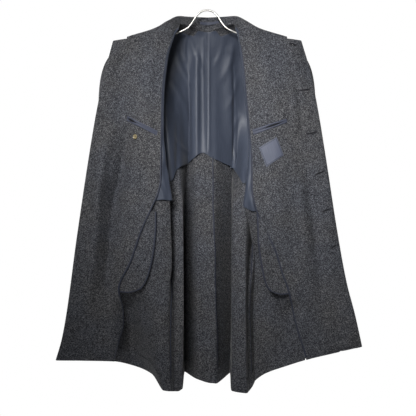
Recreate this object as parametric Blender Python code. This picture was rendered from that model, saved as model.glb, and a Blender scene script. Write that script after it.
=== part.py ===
"""Long wool coat hung open on a bent wire hanger, cut and sewn piece by piece.

Sizes are millimetres until they reach a mesh. +X is to the right of the front
view, +Y runs away from the viewer and +Z is up. The origin is under the top of
the hanger's arch, where a peg holds it. Sides are the wearer's, so the right
half of the coat lies at -X.
"""

import math

import bmesh
import bpy
import numpy as np
from mathutils import Vector

MM = 0.001

# Cloth and seams
WOOL = 2.0  # coating cloth
COLLAR = 2.6  # two layers of wool with canvas between them
LINING = 1.0
TAPE = 0.9
SEAM = 0.3  # gap between pieces sewn edge to edge
LAYER = 0.6  # gap between pieces that lie on each other
SIDE_LAYER = {"right": 0.9, "left": 1.2}  # gap under the side lining, which turns round the front's rim
SIDE_SEAM = 1.35  # half of the gap at the side seams, which turn sharply
TRIM = 1.2  # gap under small trim, which spans the cloth's facets
WELT_GAP = {"right": 3.0, "left": 1.1}  # gap under the outer pockets' welts, which span more facets

# The front view that the tables below are drawn in
VIEW_DISTANCE = 2400.0
VIEW_DOWN = 611.0  # eye level, below the origin

SIDES = {"right": -1.0, "left": 1.0}
FRONT = np.array([0.0, -1.0, 0.0])  # towards the viewer

# Place of each guide line round the coat, from centre back to front edge
PLACES = {
    "centre_back": 0.0,
    "back_trough": 0.10,
    "back_ridge": 0.22,
    "side_seam": 0.36,
    "front_side": 0.44,
    "front_rim": 0.52,
    "front_inner": 0.60,
    "front_recess": 0.72,
    "wing_crease": 0.86,
    "front_edge": 1.0,
}

# Guide lines of the cloth from neck to hem, each row (down, across, depth)
CENTRE_BACK = (
    (62, 0, 46), (150, 0, 62), (290, 0, 70), (450, 0, 66),
    (600, 2, 50), (780, 6, 40), (930, 10, 37), (1153, 17, 36),
)
GUIDES = {
    "right": {
        "back_trough": (
            (40, 84, 1), (48, 84, 20), (70, 80, 40), (150, 62, 64), (290, 56, 78),
            (450, 58, 86), (600, 70, 102), (780, 70, 110), (1116, 62, 116),
        ),
        "back_ridge": (
            (76, 160, 1), (84, 160, 22), (110, 156, 42), (170, 142, 54), (240, 138, 42), (290, 131, 26),
            (431, 121, 6), (524, 112, 0), (601, 106, -5), (778, 93, -30), (927, 90, -45), (1178, 88, -47),
        ),
        "side_seam": (
            (112, 235, 0), (200, 246, 2), (330, 218, 8), (431, 194, 12), (601, 163, 6),
            (680, 146, -4), (778, 125, -20), (865, 110, -44), (927, 104, -57), (1178, 104, -60),
        ),
        "front_side": (
            (76, 160, -1), (84, 160, -16), (110, 164, -28), (170, 182, -36), (290, 184, -38),
            (431, 172, -38), (601, 142, -38), (778, 120, -46), (865, 114, -60), (927, 124, -68), (1178, 116, -68),
        ),
        "front_rim": (
            (40, 84, -1), (48, 86, -14), (68, 99, -34), (152, 124, -56), (276, 136, -66), (431, 137, -72),
            (524, 119, -70), (680, 112, -66), (778, 109, -64), (865, 122, -68), (927, 150, -74), (1176, 133, -68),
        ),
        "front_inner": (
            (66, 112, -46), (152, 150, -68), (276, 163, -78), (431, 165, -84), (601, 142, -80),
            (778, 152, -78), (865, 180, -66), (927, 196, -44), (1051, 184, -38), (1124, 169, 10),
        ),
        "front_recess": (
            (80, 160, -60), (152, 186, -76), (276, 205, -88), (431, 210, -92), (601, 215, -90),
            (778, 235, -80), (865, 245, -58), (927, 243, -12), (1099, 225, 50),
        ),
        "wing_crease": (
            (86, 245, -60), (152, 256, -68), (276, 258, -74), (431, 268, -76), (601, 280, -72),
            (778, 290, -64), (865, 296, -56), (927, 300, -44), (1084, 305, -14),
        ),
        "front_edge": (
            (93, 290, -58), (186, 315, -80), (313, 342, -90), (437, 363, -93), (704, 403, -88),
            (952, 437, -74), (1020, 450, -68), (1082, 468, -58),
        ),
    },
    "left": {
        "back_trough": (
            (40, 84, 1), (48, 84, 20), (70, 80, 40), (150, 66, 76), (290, 72, 101),
            (462, 77, 109), (601, 74, 109), (741, 70, 112), (1119, 66, 116),
        ),
        "back_ridge": (
            (76, 160, 1), (84, 160, 22), (110, 156, 42), (170, 140, 78), (290, 124, 106),
            (431, 116, 90), (540, 113, 18), (601, 110, 0), (778, 99, -34), (927, 96, -52), (1184, 98, -58),
        ),
        "side_seam": (
            (112, 235, 0), (200, 246, 2), (330, 218, 8), (431, 194, 12), (601, 164, -4),
            (680, 148, -12), (778, 133, -22), (927, 124, -36), (1178, 128, -40),
        ),
        "front_side": (
            (76, 160, -1), (84, 160, -16), (110, 164, -28), (170, 180, -36), (290, 182, -38),
            (431, 172, -38), (601, 150, -38), (680, 150, -28), (778, 143, -8), (927, 133, -10), (1165, 138, -18),
        ),
        "front_rim": (
            (40, 84, -1), (48, 86, -14), (68, 96, -34), (152, 108, -56), (276, 121, -66), (431, 133, -72),
            (524, 130, -70), (601, 121, -64), (680, 134, -40), (778, 150, 0), (927, 144, 18), (1147, 148, 4),
        ),
        "front_inner": (
            (66, 112, -46), (152, 140, -66), (276, 150, -78), (431, 158, -84), (601, 146, -76),
            (680, 158, -48), (778, 175, -14), (927, 190, 0), (1125, 177, 5),
        ),
        "front_recess": (
            (80, 160, -60), (152, 186, -76), (276, 205, -88), (431, 210, -92), (601, 212, -88),
            (680, 215, -76), (778, 228, -54), (927, 250, -22), (1100, 245, -4),
        ),
        "wing_crease": (
            (86, 245, -60), (152, 268, -72), (276, 284, -74), (431, 286, -76), (601, 290, -74),
            (778, 308, -62), (927, 312, -40), (1078, 317, -24),
        ),
        "front_edge": (
            (92, 291, -50), (189, 319, -56), (313, 344, -60), (446, 366, -62), (697, 405, -56),
            (850, 434, -50), (933, 456, -46), (1040, 480, -40),
        ),
    },
}
SHOULDER = ((84, 40), (235, 112))  # (across, down) of the seam's two ends
SHOULDER_FADE = 0.06  # share of the length in which the seam's line is blended out

# Rows of every panel, as shares of its length
ROWS = (0.0, 0.008, 0.025, 0.055, 0.095, 0.135, 0.17, 0.2045, 0.25,
        0.32, 0.40, 0.485, 0.56, 0.65, 0.73, 0.78, 0.84, 0.92, 1.0)
UNDERARM_ROW = 7
WAIST_ROW = 11
ARMHOLE_HALF = 0.055  # half of the armhole's opening, round the coat
BACK_COLUMNS = 9
SIDE_COLUMNS = 8  # from the side seam to the facing's edge
FACING_COLUMNS = 5

# Facing's inner edge, rows (down, across)
FACING_EDGE = {
    "right": (
        (60, 101), (152, 128), (276, 140), (431, 142), (524, 143), (560, 150), (601, 167), (679, 202),
        (778, 236), (865, 272), (927, 262), (970, 261), (1013, 272), (1051, 282), (1100, 292),
    ),
    "left": (
        (60, 98), (152, 112), (307, 127), (462, 139), (555, 140), (607, 150), (679, 183), (747, 214),
        (809, 232), (862, 251), (927, 267), (989, 282), (1042, 298), (1100, 314),
    ),
}

# Lower edge of the back lining, rows (place, down)
LINING_EDGE = {
    "right": ((0.0, 440), (0.05, 456), (0.10, 478), (0.22, 535), (0.36, 498.4)),
    "left": ((0.0, 440), (0.05, 462), (0.10, 486), (0.22, 520), (0.36, 498.4)),
}
LINING_ROWS = 10
LINING_TOP = 0.3  # share of the first row left bare below the seam
LINING_TIP = (0.9, 0.6, 0.3)  # shares of a column left bare at the shoulder's tip, by row

# Pocket bags, rows (down, across of the free edge, share of the way to the facing, depth of the free edge)
BAGS = {
    "right": (
        (622, 158, 1.0, -84), (665, 158, 1.0, -86), (710, 161, 1.0, -88), (750, 166, 1.0, -90), (787, 173, 1.0, -88),
        (837, 189, 1.0, -84), (862, 203, 0.98, -80), (877, 226, 0.62, -78),
    ),
    "left": (
        (628, 155, 1.0, -78), (670, 157, 1.0, -76), (715, 159, 1.0, -72), (770, 166, 1.0, -64),
        (835, 180, 1.0, -56), (865, 192, 0.97, -52), (878, 212, 0.62, -50),
    ),
}
BAG_COLUMNS = 4
BAG_CLEAR = 8.0  # least way out from the front's middle
BAG_FAR = (4.0, 4.4)  # gap to the facing, and way out from the front's middle there
BINDING = 4.0  # width of the tape that shows
BINDING_GAP = {"right": 2.1, "left": 0.9}  # gap under the facing's tape, more where the edge turns

# Trim on the facings: (across, down) of the corners, going round
JETS = {
    "right": ((242, 330), (155, 374), (158, 384), (245, 340)),
    "left": ((143, 371), (242, 338), (245, 348), (146, 381)),
}
JET_SLIT = 0.12  # share of the height left open between the two lips
LABEL = ((163, 424), (215, 392), (236, 447), (185, 483))
INNER_BUTTON = (219, 391)
INNER_BUTTON_SIZE = (7.0, 3.0)  # radius, thickness

# Outer face: welts along the pocket mouths, and the buttons
WELTS = {
    "right": ((196, 628), (222, 616), (300, 800), (272, 812)),
    "left": ((210, 640), (238, 628), (312, 800), (282, 812)),
}
BUTTON_INSET = 46.0
BUTTON_ROWS = (128, 250, 382, 508, 624, 740)
BUTTON_SIZE = (12.5, 4.0)  # radius, thickness
SHANK = (2.6, 3.3)  # radius and height of the thread under a button

# Collar, rows (station, roll across, roll down, roll depth, fall across, fall down, fall depth)
COLLAR_ROWS = (
    (0.0, 0, 18, 41, 0, 84, 68),
    (0.5, 48, 16, 31, 54, 84, 64),
    (1.0, 84, 14, 3, 126, 48, 16),
    (1.7, 118, 27, -38, 150, 66, -32),
    (2.8, 160, 50, -55, 178, 108, -46),
    (4.0, 247, 77, -60, 252, 124, -52),
)
COLLAR_STATIONS = (0.0, 0.25, 0.5, 0.75, 1.0, 1.35, 1.7, 2.2, 2.8, 3.4, 4.0)
ROLL_GAP = 5.5  # the stand ends this far below the roll line, under the fall
NECK_GAP = 1.8
FALL_BOW = 7.0

# Hanging loop on the stand: station and height on it
LOOP_STATIONS = (-0.24, 0.37)
LOOP_HEIGHTS = (0.44, 0.64)
LOOP_BOW = 2.0
LOOP_GAP = 0.9

# Sleeve, rows (down, across, depth, half width, half depth) below the cap
SLEEVE_ROWS = (
    (350, 284, 2, 52, 50),
    (480, 281, -2, 52, 47),
    (600, 279, -8, 51, 44),
    (715, 278, -12, 50, 41),
)
CAP_STEPS = 4
CAP_OUT = 0.40
CAP_UP = 0.45
SLEEVE_SEAM_ROW = 5  # armhole row at which the sleeve's two seams start

# Hanger's wire, rows (across, down) along one half, and its thickness
WIRE_ROWS = (
    (0, -2.8), (8, -1.6), (16, 1.2), (26, 8), (36, 20), (47, 37),
    (60, 52), (81, 63), (99, 70), (150, 82.5), (180, 92.2), (206, 103.2),
)
WIRE_DEPTH = 1.0
WIRE_RADIUS = 2.75
WIRE_STEPS = 20

LOOKS = {  # colour, roughness, metallic
    "wool": ((0.085, 0.087, 0.095), 0.95, 0.0),
    "satin": ((0.075, 0.088, 0.125), 0.45, 0.0),
    "navy tape": ((0.02, 0.025, 0.05), 0.7, 0.0),
    "horn": ((0.05, 0.032, 0.02), 0.35, 0.0),
    "wire": ((0.62, 0.61, 0.58), 0.3, 1.0),
}


def cubic(knots, values, at):
    """Cubic that keeps the run of its values: no bulge past a high or low one.

    values has a row for each knot, then one entry (or one for all) for each
    place in at, then the coordinates.
    """
    knots = np.asarray(knots, float)
    values = np.asarray(values, float)
    values = np.broadcast_to(values, (len(knots), len(at), values.shape[2]))
    step = np.diff(knots)[:, None, None]
    rise = np.diff(values, axis=0) / step
    slope = np.empty_like(values)
    slope[0], slope[-1] = rise[0], rise[-1]
    same = rise[:-1] * rise[1:] > 0
    near, far = 2 * step[1:] + step[:-1], step[1:] + 2 * step[:-1]
    safe = np.where(same, near / np.where(same, rise[:-1], 1) + far / np.where(same, rise[1:], 1), 1)
    slope[1:-1] = np.where(same, (near + far) / safe, 0)
    cell = np.clip(np.searchsorted(knots, at, side="right") - 1, 0, len(knots) - 2)
    one = np.arange(len(at))
    wide = np.diff(knots)[cell][:, None]
    t = ((at - knots[cell]) / np.diff(knots)[cell])[:, None]
    low, high = values[cell, one], values[cell + 1, one]
    start, end = slope[cell, one] * wide, slope[cell + 1, one] * wide
    return (
        low * (1 + 2 * t) * (1 - t) ** 2
        + start * t * (1 - t) ** 2
        + high * t * t * (3 - 2 * t)
        - end * t * t * (1 - t)
    )


def guide(rows, share):
    """Across, down and depth along one guide line at each share of its length."""
    rows = np.array(rows, float)
    down = rows[0, 0] + share * (rows[-1, 0] - rows[0, 0])
    flat = cubic(rows[:, 0], rows[:, None, 1:], down)
    return np.column_stack([flat[:, 0], down, flat[:, 1]])


def seen(side, u, v):
    """Across, down and depth of the cloth at places u round it and shares v of its length."""
    shape = np.shape(u)
    u, v = np.ravel(u).astype(float), np.ravel(v).astype(float)
    middle = guide(CENTRE_BACK, v) * (SIDES[side], 1, 1)
    lines = [middle] + [guide(GUIDES[side][name], v) for name in list(PLACES)[1:]]
    ghost = lines[1] * (-1, 1, 1) + 2 * middle * (1, 0, 0)
    knots = [-PLACES["back_trough"]] + list(PLACES.values())
    net = np.stack([ghost] + lines)
    out = cubic(knots, net, u)
    # The shoulder seam is straight, so both panels meet along it
    on_seam = (u >= PLACES["back_trough"]) & (u <= PLACES["front_rim"]) & (v < SHOULDER_FADE)
    if on_seam.any():
        top = np.stack([guide(rows, np.zeros(1)) for rows in
                        [GUIDES[side]["back_trough"], CENTRE_BACK] + [GUIDES[side][n] for n in list(PLACES)[1:]]])
        top[0] = top[0] * (-1, 1, 1)
        edge = cubic(knots, top, u)
        (a0, d0), (a1, d1) = SHOULDER
        straight = d0 + (edge[:, 0] - a0) * (d1 - d0) / (a1 - a0)
        out[:, 1] += np.where(on_seam, (straight - edge[:, 1]) * (1 - v / SHOULDER_FADE).clip(0, 1), 0)
    return out.reshape(shape + (3,))


def place(side, view):
    """True position, in millimetres, of what the front view shows at that spot and depth."""
    spread = 1 + view[..., 2] / VIEW_DISTANCE
    return np.stack(
        [SIDES[side] * view[..., 0] * spread, view[..., 2], -(VIEW_DOWN + (view[..., 1] - VIEW_DOWN) * spread)], -1
    )


def unit(vectors):
    return vectors / np.linalg.norm(vectors, axis=-1, keepdims=True)


def inward(side, u, v):
    """Directions from the cloth towards the wearer, the same on both sides of a seam."""
    step = 0.004
    round_it = place(side, seen(side, np.minimum(u + step, 1), v)) - place(side, seen(side, u - step, v))
    down_it = place(side, seen(side, u, np.minimum(v + step, 1))) - place(side, seen(side, u, np.maximum(v - step, 0)))
    return unit(-SIDES[side] * np.cross(round_it, down_it))


def armhole_half(v):
    """Half of the armhole's opening at each share of the length, zero below the underarm."""
    half = ROWS[UNDERARM_ROW] / 2
    return ARMHOLE_HALF * np.sqrt(np.clip(1 - ((v - half) / half) ** 2, 0, 1)) * (v <= ROWS[UNDERARM_ROW])


def shorten(points, axis, end, gap):
    """Grid whose first (0) or last (-1) line is moved in by the gap, along the other lines."""
    points = np.moveaxis(points.copy(), axis, 0)
    edge, near = (0, 1) if end == 0 else (-1, -2)
    points[edge] += unit(points[near] - points[edge]) * gap
    return np.moveaxis(points, 0, axis)


def read(grid, i, j):
    """Values between a grid's points, at column i and row j with fractions."""
    i0 = np.clip(np.floor(i).astype(int), 0, grid.shape[0] - 2)
    j0 = np.clip(np.floor(j).astype(int), 0, grid.shape[1] - 2)
    a, b = (i - i0)[..., None], (j - j0)[..., None]
    return (
        grid[i0, j0] * (1 - a) * (1 - b)
        + grid[i0 + 1, j0] * a * (1 - b)
        + grid[i0, j0 + 1] * (1 - a) * b
        + grid[i0 + 1, j0 + 1] * a * b
    )


def find(view, across, down, first):
    """Column and row, with fractions, at which a panel shows that spot of the front view."""
    area = view[first:, :, :2]
    target = np.stack([across, down], -1)
    gap = np.linalg.norm(area[None] - target.reshape(-1, 1, 1, 2), axis=-1).reshape(target[..., 0].size, -1)
    i, j = np.unravel_index(gap.argmin(1), area.shape[:2])
    i = (i + first).astype(float).reshape(target.shape[:-1])
    j = j.astype(float).reshape(target.shape[:-1])
    step = 0.02
    for turn in range(40):
        here = read(view, i, j)[..., :2]
        side = (read(view, i + step, j)[..., :2] - here) / step
        along = (read(view, i, j + step)[..., :2] - here) / step
        miss = target - here
        area = side[..., 0] * along[..., 1] - side[..., 1] * along[..., 0]
        i = i + 0.6 * (miss[..., 0] * along[..., 1] - miss[..., 1] * along[..., 0]) / area
        j = j + 0.6 * (side[..., 0] * miss[..., 1] - side[..., 1] * miss[..., 0]) / area
        i = np.clip(i, 0, view.shape[0] - 1.001)
        j = np.clip(j, 0, view.shape[1] - 1.001)
    return i, j


materials = {}


def paint(obj, look):
    if look not in materials:
        colour, roughness, metallic = LOOKS[look]
        material = bpy.data.materials.new(look)
        material.use_nodes = True
        shader = material.node_tree.nodes["Principled BSDF"]
        shader.inputs["Base Color"].default_value = (*colour, 1)
        shader.inputs["Roughness"].default_value = roughness
        shader.inputs["Metallic"].default_value = metallic
        materials[look] = material
    obj.data.materials.append(materials[look])


def add(name, points, faces, look):
    mesh = bpy.data.meshes.new(name)
    mesh.from_pydata([tuple(p * MM) for p in np.asarray(points, float)], [], faces)
    bm = bmesh.new()
    bm.from_mesh(mesh)
    if bm.calc_volume(signed=True) < 0:
        bmesh.ops.reverse_faces(bm, faces=bm.faces)
    bm.to_mesh(mesh)
    bm.free()
    obj = bpy.data.objects.new(name, mesh)
    bpy.context.collection.objects.link(obj)
    obj.parent = coat
    paint(obj, look)
    return obj


def wall(name, points, normals, low, high, look):
    """Closed wall of cloth between two sheets moved off a grid along its normals."""
    columns, rows = points.shape[:2]
    half = columns * rows
    inner = (points + normals * high).reshape(-1, 3)
    outer = (points + normals * low).reshape(-1, 3)
    faces = []
    for i in range(columns - 1):
        for j in range(rows - 1):
            a, b = i * rows + j, (i + 1) * rows + j
            for p, q, r in ((a, b, b + 1), (a, b + 1, a + 1)):
                faces += [(p, q, r), (half + p, half + r, half + q)]
    rim = [j for j in range(rows)] + [i * rows + rows - 1 for i in range(1, columns)]
    rim += [(columns - 1) * rows + j for j in range(rows - 2, -1, -1)]
    rim += [i * rows for i in range(columns - 2, 0, -1)]
    for p, q in zip(rim, rim[1:] + rim[:1]):
        faces += [(p, q, half + q), (p, half + q, half + p)]
    return add(name, np.concatenate([inner, outer]), faces, look)


def patch(name, panel, corners, offset, thick, look, size, first, face=1.0):
    """Trim that follows a panel between four corners of the front view."""
    (a, b, c, d), (along, over) = np.array(corners, float), size
    s, t = np.meshgrid(np.linspace(0, 1, along), np.linspace(0, 1, over), indexing="ij")
    s, t = s[..., None], t[..., None]
    spot = a * (1 - s) * (1 - t) + b * s * (1 - t) + c * s * t + d * (1 - s) * t
    i, j = find(panel["view"], spot[..., 0], spot[..., 1], first)
    points, normals = read(panel["points"], i, j), unit(read(panel["normals"], i, j))
    low, high = sorted((face * offset, face * (offset + thick)))
    return wall(name, points, normals, low, high, look)


def disc(name, centre, normal, radius, thick, look):
    """Round button on a thread shank, its face away from the cloth."""
    steps, turn = 14, Vector((0, 0, 1)).rotation_difference(Vector(normal))
    profile = (
        (SHANK[0], 0), (SHANK[0], SHANK[1]), (radius * 0.9, SHANK[1]),
        (radius, SHANK[1] + thick * 0.4), (radius * 0.85, SHANK[1] + thick),
    )
    points, faces = [], []
    for r, h in profile:
        for k in range(steps):
            angle = 2 * math.pi * k / steps
            points.append(np.array(turn @ Vector((r * math.cos(angle), r * math.sin(angle), h))) + centre)
    for ring in range(len(profile) - 1):
        for k in range(steps):
            a, b = ring * steps + k, ring * steps + (k + 1) % steps
            faces.append((a, b, b + steps, a + steps))
    faces += [tuple(range(steps))[::-1], tuple(range((len(profile) - 1) * steps, len(profile) * steps))]
    return add(name, points, faces, look)


def back(side):
    """Grid of half of the back, with a row along the lining's lower edge."""
    edge = np.array(LINING_EDGE[side], float)
    u = np.linspace(0, PLACES["side_seam"], BACK_COLUMNS + 1)
    top, end = guide(CENTRE_BACK, np.array([0.0, 1.0]))[:, 1]
    stop = (np.interp(u, edge[:, 0], edge[:, 1]) - top) / (end - top)
    v = np.tile(np.array(ROWS), (len(u), 1))
    upper = v <= ROWS[LINING_ROWS] + 1e-9
    low, underarm = ROWS[LINING_ROWS], ROWS[UNDERARM_ROW]
    # Rows below the underarm are spread so that one of them follows the lining
    spread = stop[:, None]
    v = np.where(v > underarm, np.where(
        upper,
        underarm + (v - underarm) / (low - underarm) * (spread - underarm),
        spread + (v - low) / (1 - low) * (1 - spread)), v)
    u = u[:, None] * (1 - armhole_half(v) / PLACES["side_seam"])
    view = seen(side, u, v)
    return {"points": place(side, view), "view": view, "normals": inward(side, u, v)}


def front(side):
    """Grid of a front, with a column along the facing's inner edge."""
    v = np.array(ROWS)
    edge = np.array(FACING_EDGE[side], float)
    fine = np.linspace(PLACES["front_rim"], 1, 400)
    stop = []
    for share in v:
        view = seen(side, fine, np.full_like(fine, share))
        target = np.interp(view[:, 1], edge[:, 0], edge[:, 1])
        past = np.flatnonzero(view[:, 0] >= target)
        stop.append(fine[max(past[0], 10)])
    stop = np.array(stop)
    start = PLACES["side_seam"] + armhole_half(v)
    near = start[None] + np.linspace(0, 1, SIDE_COLUMNS + 1)[:, None] * (stop - start)[None]
    far = stop[None] + np.linspace(0, 1, FACING_COLUMNS + 1)[1:, None] * (1 - stop)[None]
    u = np.concatenate([near, far])
    v = np.broadcast_to(v, u.shape)
    view = seen(side, u, v)
    return {"points": place(side, view), "view": view, "normals": inward(side, u, v)}


def bag(side, panel):
    """Grid of a pocket bag, from its free edge to the facing's edge."""
    rows = np.array(BAGS[side], float)
    share = np.linspace(0, 1, BAG_COLUMNS + 1)[:, None]
    edge = panel["view"][SIDE_COLUMNS]
    far = np.interp(rows[:, 0], edge[:, 1], edge[:, 0]) - BAG_FAR[0]
    across = rows[:, 1] + share * (far - rows[:, 1]) * rows[:, 2]
    down = np.broadcast_to(rows[:, 0], across.shape)
    cloth = read(panel["view"], *find(panel["view"], across, down, 5))[..., 2]
    hang = rows[:, 3] + share * (cloth[-1] - BAG_FAR[1] - rows[:, 3])
    clear = cloth - BAG_CLEAR - share * (BAG_FAR[1] - BAG_CLEAR)
    points = place(side, np.stack([across, down, np.minimum(hang, clear)], -1))
    return {"points": points, "normals": tidy_normals(points, FRONT)}


def neck(station):
    """Front view of the neckline at a signed station, left positive."""
    side = "left" if station >= 0 else "right"
    s = abs(station)
    if s <= 1:
        u = s * PLACES["back_trough"]
    else:
        stops = [PLACES[n] for n in ("front_rim", "front_inner", "front_recess", "wing_crease")]
        u = float(np.interp(s, (1.0, 1.7, 2.8, 4.0), stops))
    return side, seen(side, np.array([u]), np.array([0.0]))[0]


def collar():
    """Grids of the stand and the fall, from one end of the collar to the other."""
    rows = np.array(COLLAR_ROWS, float)
    stations = [-s for s in COLLAR_STATIONS[:0:-1]] + list(COLLAR_STATIONS)
    stand, fall = [], []
    for station in stations:
        side, low = neck(station)
        at = cubic(rows[:, 0], rows[:, None, 1:], np.array([abs(station)]))[0]
        base, roll, end = (place(side, p) for p in (low, at[:3], at[3:]))
        rise = unit(roll - base)
        stand.append([base + rise * NECK_GAP, (base + roll) / 2, roll - rise * ROLL_GAP])
        fall.append([roll + (end - roll) * t + np.array([0, FALL_BOW * 4 * t * (1 - t), 0]) for t in (0, 0.3, 0.65, 1)])
    return stations, np.array(stand), np.array(fall)


def tidy_normals(points, towards):
    """Normals of a grid, turned to the side that the direction points to."""
    normals = unit(np.cross(np.gradient(points, axis=0), np.gradient(points, axis=1)))
    return normals * np.sign((normals * towards).sum(-1, keepdims=True).mean())


def sleeve(side, rear, fore):
    """Grid of a sleeve round its armhole: from the back seam, over the top, round to it again."""
    last = UNDERARM_ROW
    hole = np.concatenate([rear[-1, SLEEVE_SEAM_ROW::-1], fore[0, 1:last + 1], rear[-1, last - 1:SLEEVE_SEAM_ROW - 1:-1]])
    sizes = np.linalg.norm(np.diff(hole, axis=0), axis=1)
    run = np.concatenate([[0], np.cumsum(sizes)]) / sizes.sum()
    tip, under = run[SLEEVE_SEAM_ROW], run[SLEEVE_SEAM_ROW + last]
    below = 1 - under + tip
    angle = math.pi * np.where(
        run <= tip, (run - tip) / below,
        np.where(run <= under, (run - tip) / (under - tip), 1 + (run - under) / below))
    out = np.array([SIDES[side], 0, 0])
    low = np.clip((np.arange(len(hole)) - SLEEVE_SEAM_ROW) / last, 0, 1) ** 3
    hole = hole + out * (0.9 + 1.2 * low[:, None])
    rings = []
    for down, across, depth, wide, deep in SLEEVE_ROWS:
        view = np.column_stack([across + wide * np.cos(angle), np.full_like(angle, down), depth - deep * np.sin(angle)])
        rings.append(place(side, view))
    first = rings[0]
    reach = np.linalg.norm(first - hole, axis=1, keepdims=True)
    p1, p2 = hole + out * CAP_OUT * reach, first + np.array([0, 0, 1]) * CAP_UP * reach
    lines = []
    for t in np.linspace(0, 1, CAP_STEPS + 1)[:-1]:
        lines.append(hole * (1 - t) ** 3 + 3 * p1 * t * (1 - t) ** 2 + 3 * p2 * t * t * (1 - t) + first * t ** 3)
    return np.stack(lines + rings, 1)


for leftover in list(bpy.data.objects):
    bpy.data.objects.remove(leftover)
coat = bpy.data.objects.new("coat", None)
bpy.context.collection.objects.link(coat)

half = WOOL / 2
for side, sign in SIDES.items():
    rear, fore = back(side), front(side)

    # Halves of the back, then the lining on them
    points = shorten(shorten(rear["points"], 0, 0, SEAM), 0, -1, SIDE_SEAM)
    points = shorten(points, 1, 0, SIDE_SEAM)
    wall(f"back_{side}", points, rear["normals"], -half, half, "wool")
    low = half + LAYER
    upto = LINING_ROWS + 1
    column, row = np.meshgrid(np.arange(BACK_COLUMNS + 1.0), np.arange(float(upto)), indexing="ij")
    row[:, 0] = LINING_TOP
    column[-1] -= np.append(LINING_TIP, [0.03] * (upto - 3))
    wall(f"back_lining_{side}", read(points, column, row), unit(read(rear["normals"], column, row)),
         low, low + LINING, "satin")

    # Front, the facing on it, and the lining beside the facing
    points = shorten(shorten(fore["points"], 0, 0, SIDE_SEAM), 1, 0, SIDE_SEAM)
    wall(f"front_{side}", points, fore["normals"], -half, half, "wool")
    column, row = np.meshgrid(np.arange(SIDE_COLUMNS, len(points), dtype=float), np.arange(float(len(ROWS))), indexing="ij")
    row[:, 0] = LINING_TOP
    wall(f"facing_{side}", read(points, column, row), unit(read(fore["normals"], column, row)), low, low + WOOL, "wool")
    column, row = np.meshgrid(np.arange(SIDE_COLUMNS + 1.0), np.arange(1.0, WAIST_ROW + 1), indexing="ij")
    column[0] += np.append(LINING_TIP, [0.03] * (WAIST_ROW - 3))
    column[-1] -= 0.2
    wall(f"side_lining_{side}", read(points, column, row), unit(read(fore["normals"], column, row)),
         half + SIDE_LAYER[side], half + SIDE_LAYER[side] + LINING, "satin")

    # Tape round the facing's inner edge
    top = low + WOOL + BINDING_GAP[side]
    rows = np.arange(1, len(ROWS), dtype=float)
    space = np.linalg.norm(fore["points"][SIDE_COLUMNS + 1] - fore["points"][SIDE_COLUMNS], axis=-1)[1:]
    index = np.stack([np.full_like(rows, SIDE_COLUMNS), SIDE_COLUMNS + BINDING / space])
    rows = np.stack([rows, rows])
    wall(f"facing_binding_{side}", read(points, index, rows), unit(read(fore["normals"], index, rows)),
         top, top + TAPE, "navy tape")

    # Pocket bag beside the facing, with tape round its free edge
    pouch = bag(side, fore)
    wall(f"pocket_bag_{side}", pouch["points"], pouch["normals"], -half, half, "wool")
    columns = np.stack([np.zeros(len(BAGS[side])), BINDING / np.linalg.norm(pouch["points"][1] - pouch["points"][0], axis=-1)])
    rows = np.stack([np.arange(len(BAGS[side]), dtype=float)] * 2)
    columns = np.clip(columns, 0, 0.9)
    wall(f"pocket_binding_{side}", read(pouch["points"], columns, rows), unit(read(pouch["normals"], columns, rows)),
         half + TRIM, half + TRIM + TAPE, "navy tape")

    # Lips of the inner pocket
    a, b, c, d = np.array(JETS[side], float)
    share = (1 - JET_SLIT) / 2
    face = half + LAYER + WOOL + TRIM
    patch(f"jet_upper_{side}", fore, (a, b, b + (c - b) * share, a + (d - a) * share),
          face, TAPE, "navy tape", (10, 2), SIDE_COLUMNS)
    patch(f"jet_lower_{side}", fore, (a + (d - a) * (1 - share), b + (c - b) * (1 - share), c, d),
          face, TAPE, "navy tape", (10, 2), SIDE_COLUMNS)

    # Welt of the outer pocket, on the outer face
    patch(f"pocket_welt_{side}", fore, WELTS[side], half + WELT_GAP[side], WOOL, "wool", (12, 3), SIDE_COLUMNS, -1.0)

    if side == "right":
        i, j = find(fore["view"], np.array([INNER_BUTTON[0]], float), np.array([INNER_BUTTON[1]], float), SIDE_COLUMNS)
        normal = unit(read(fore["normals"], i, j))[0]
        disc("inner_button", read(fore["points"], i, j)[0] + normal * (low + WOOL + LAYER), normal,
             *INNER_BUTTON_SIZE, "horn")
        for number, down in enumerate(BUTTON_ROWS, 1):
            line = fore["view"][-1]
            across = np.interp(down, line[:, 1], line[:, 0]) - BUTTON_INSET
            i, j = find(fore["view"], np.array([across]), np.array([float(down)]), SIDE_COLUMNS)
            normal = -unit(read(fore["normals"], i, j))[0]
            disc(f"button_{number}", read(fore["points"], i, j)[0] + normal * (half + LAYER + 0.15), normal,
                 *BUTTON_SIZE, "horn")
    else:
        patch("label", fore, LABEL, face, TAPE, "navy tape", (7, 7), SIDE_COLUMNS)

    # Two-piece sleeve
    tube = sleeve(side, rear["points"], fore["points"])
    middle = tube.mean(0)
    lean = unit(np.cross(np.gradient(tube, axis=0), np.gradient(tube, axis=1)))
    lean *= np.sign((lean * (middle[None] - tube)).sum(-1).mean())
    lean[0] = lean[-1] = unit(lean[0] + lean[-1])
    split = SLEEVE_SEAM_ROW * 2
    for name, span in (("top", slice(0, split + 1)), ("under", slice(split, None))):
        cut = shorten(shorten(tube[span], 0, 0, 2 * SEAM), 0, -1, 2 * SEAM)
        wall(f"{name}_sleeve_{side}", cut, lean[span], -half, half, "wool")

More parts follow.
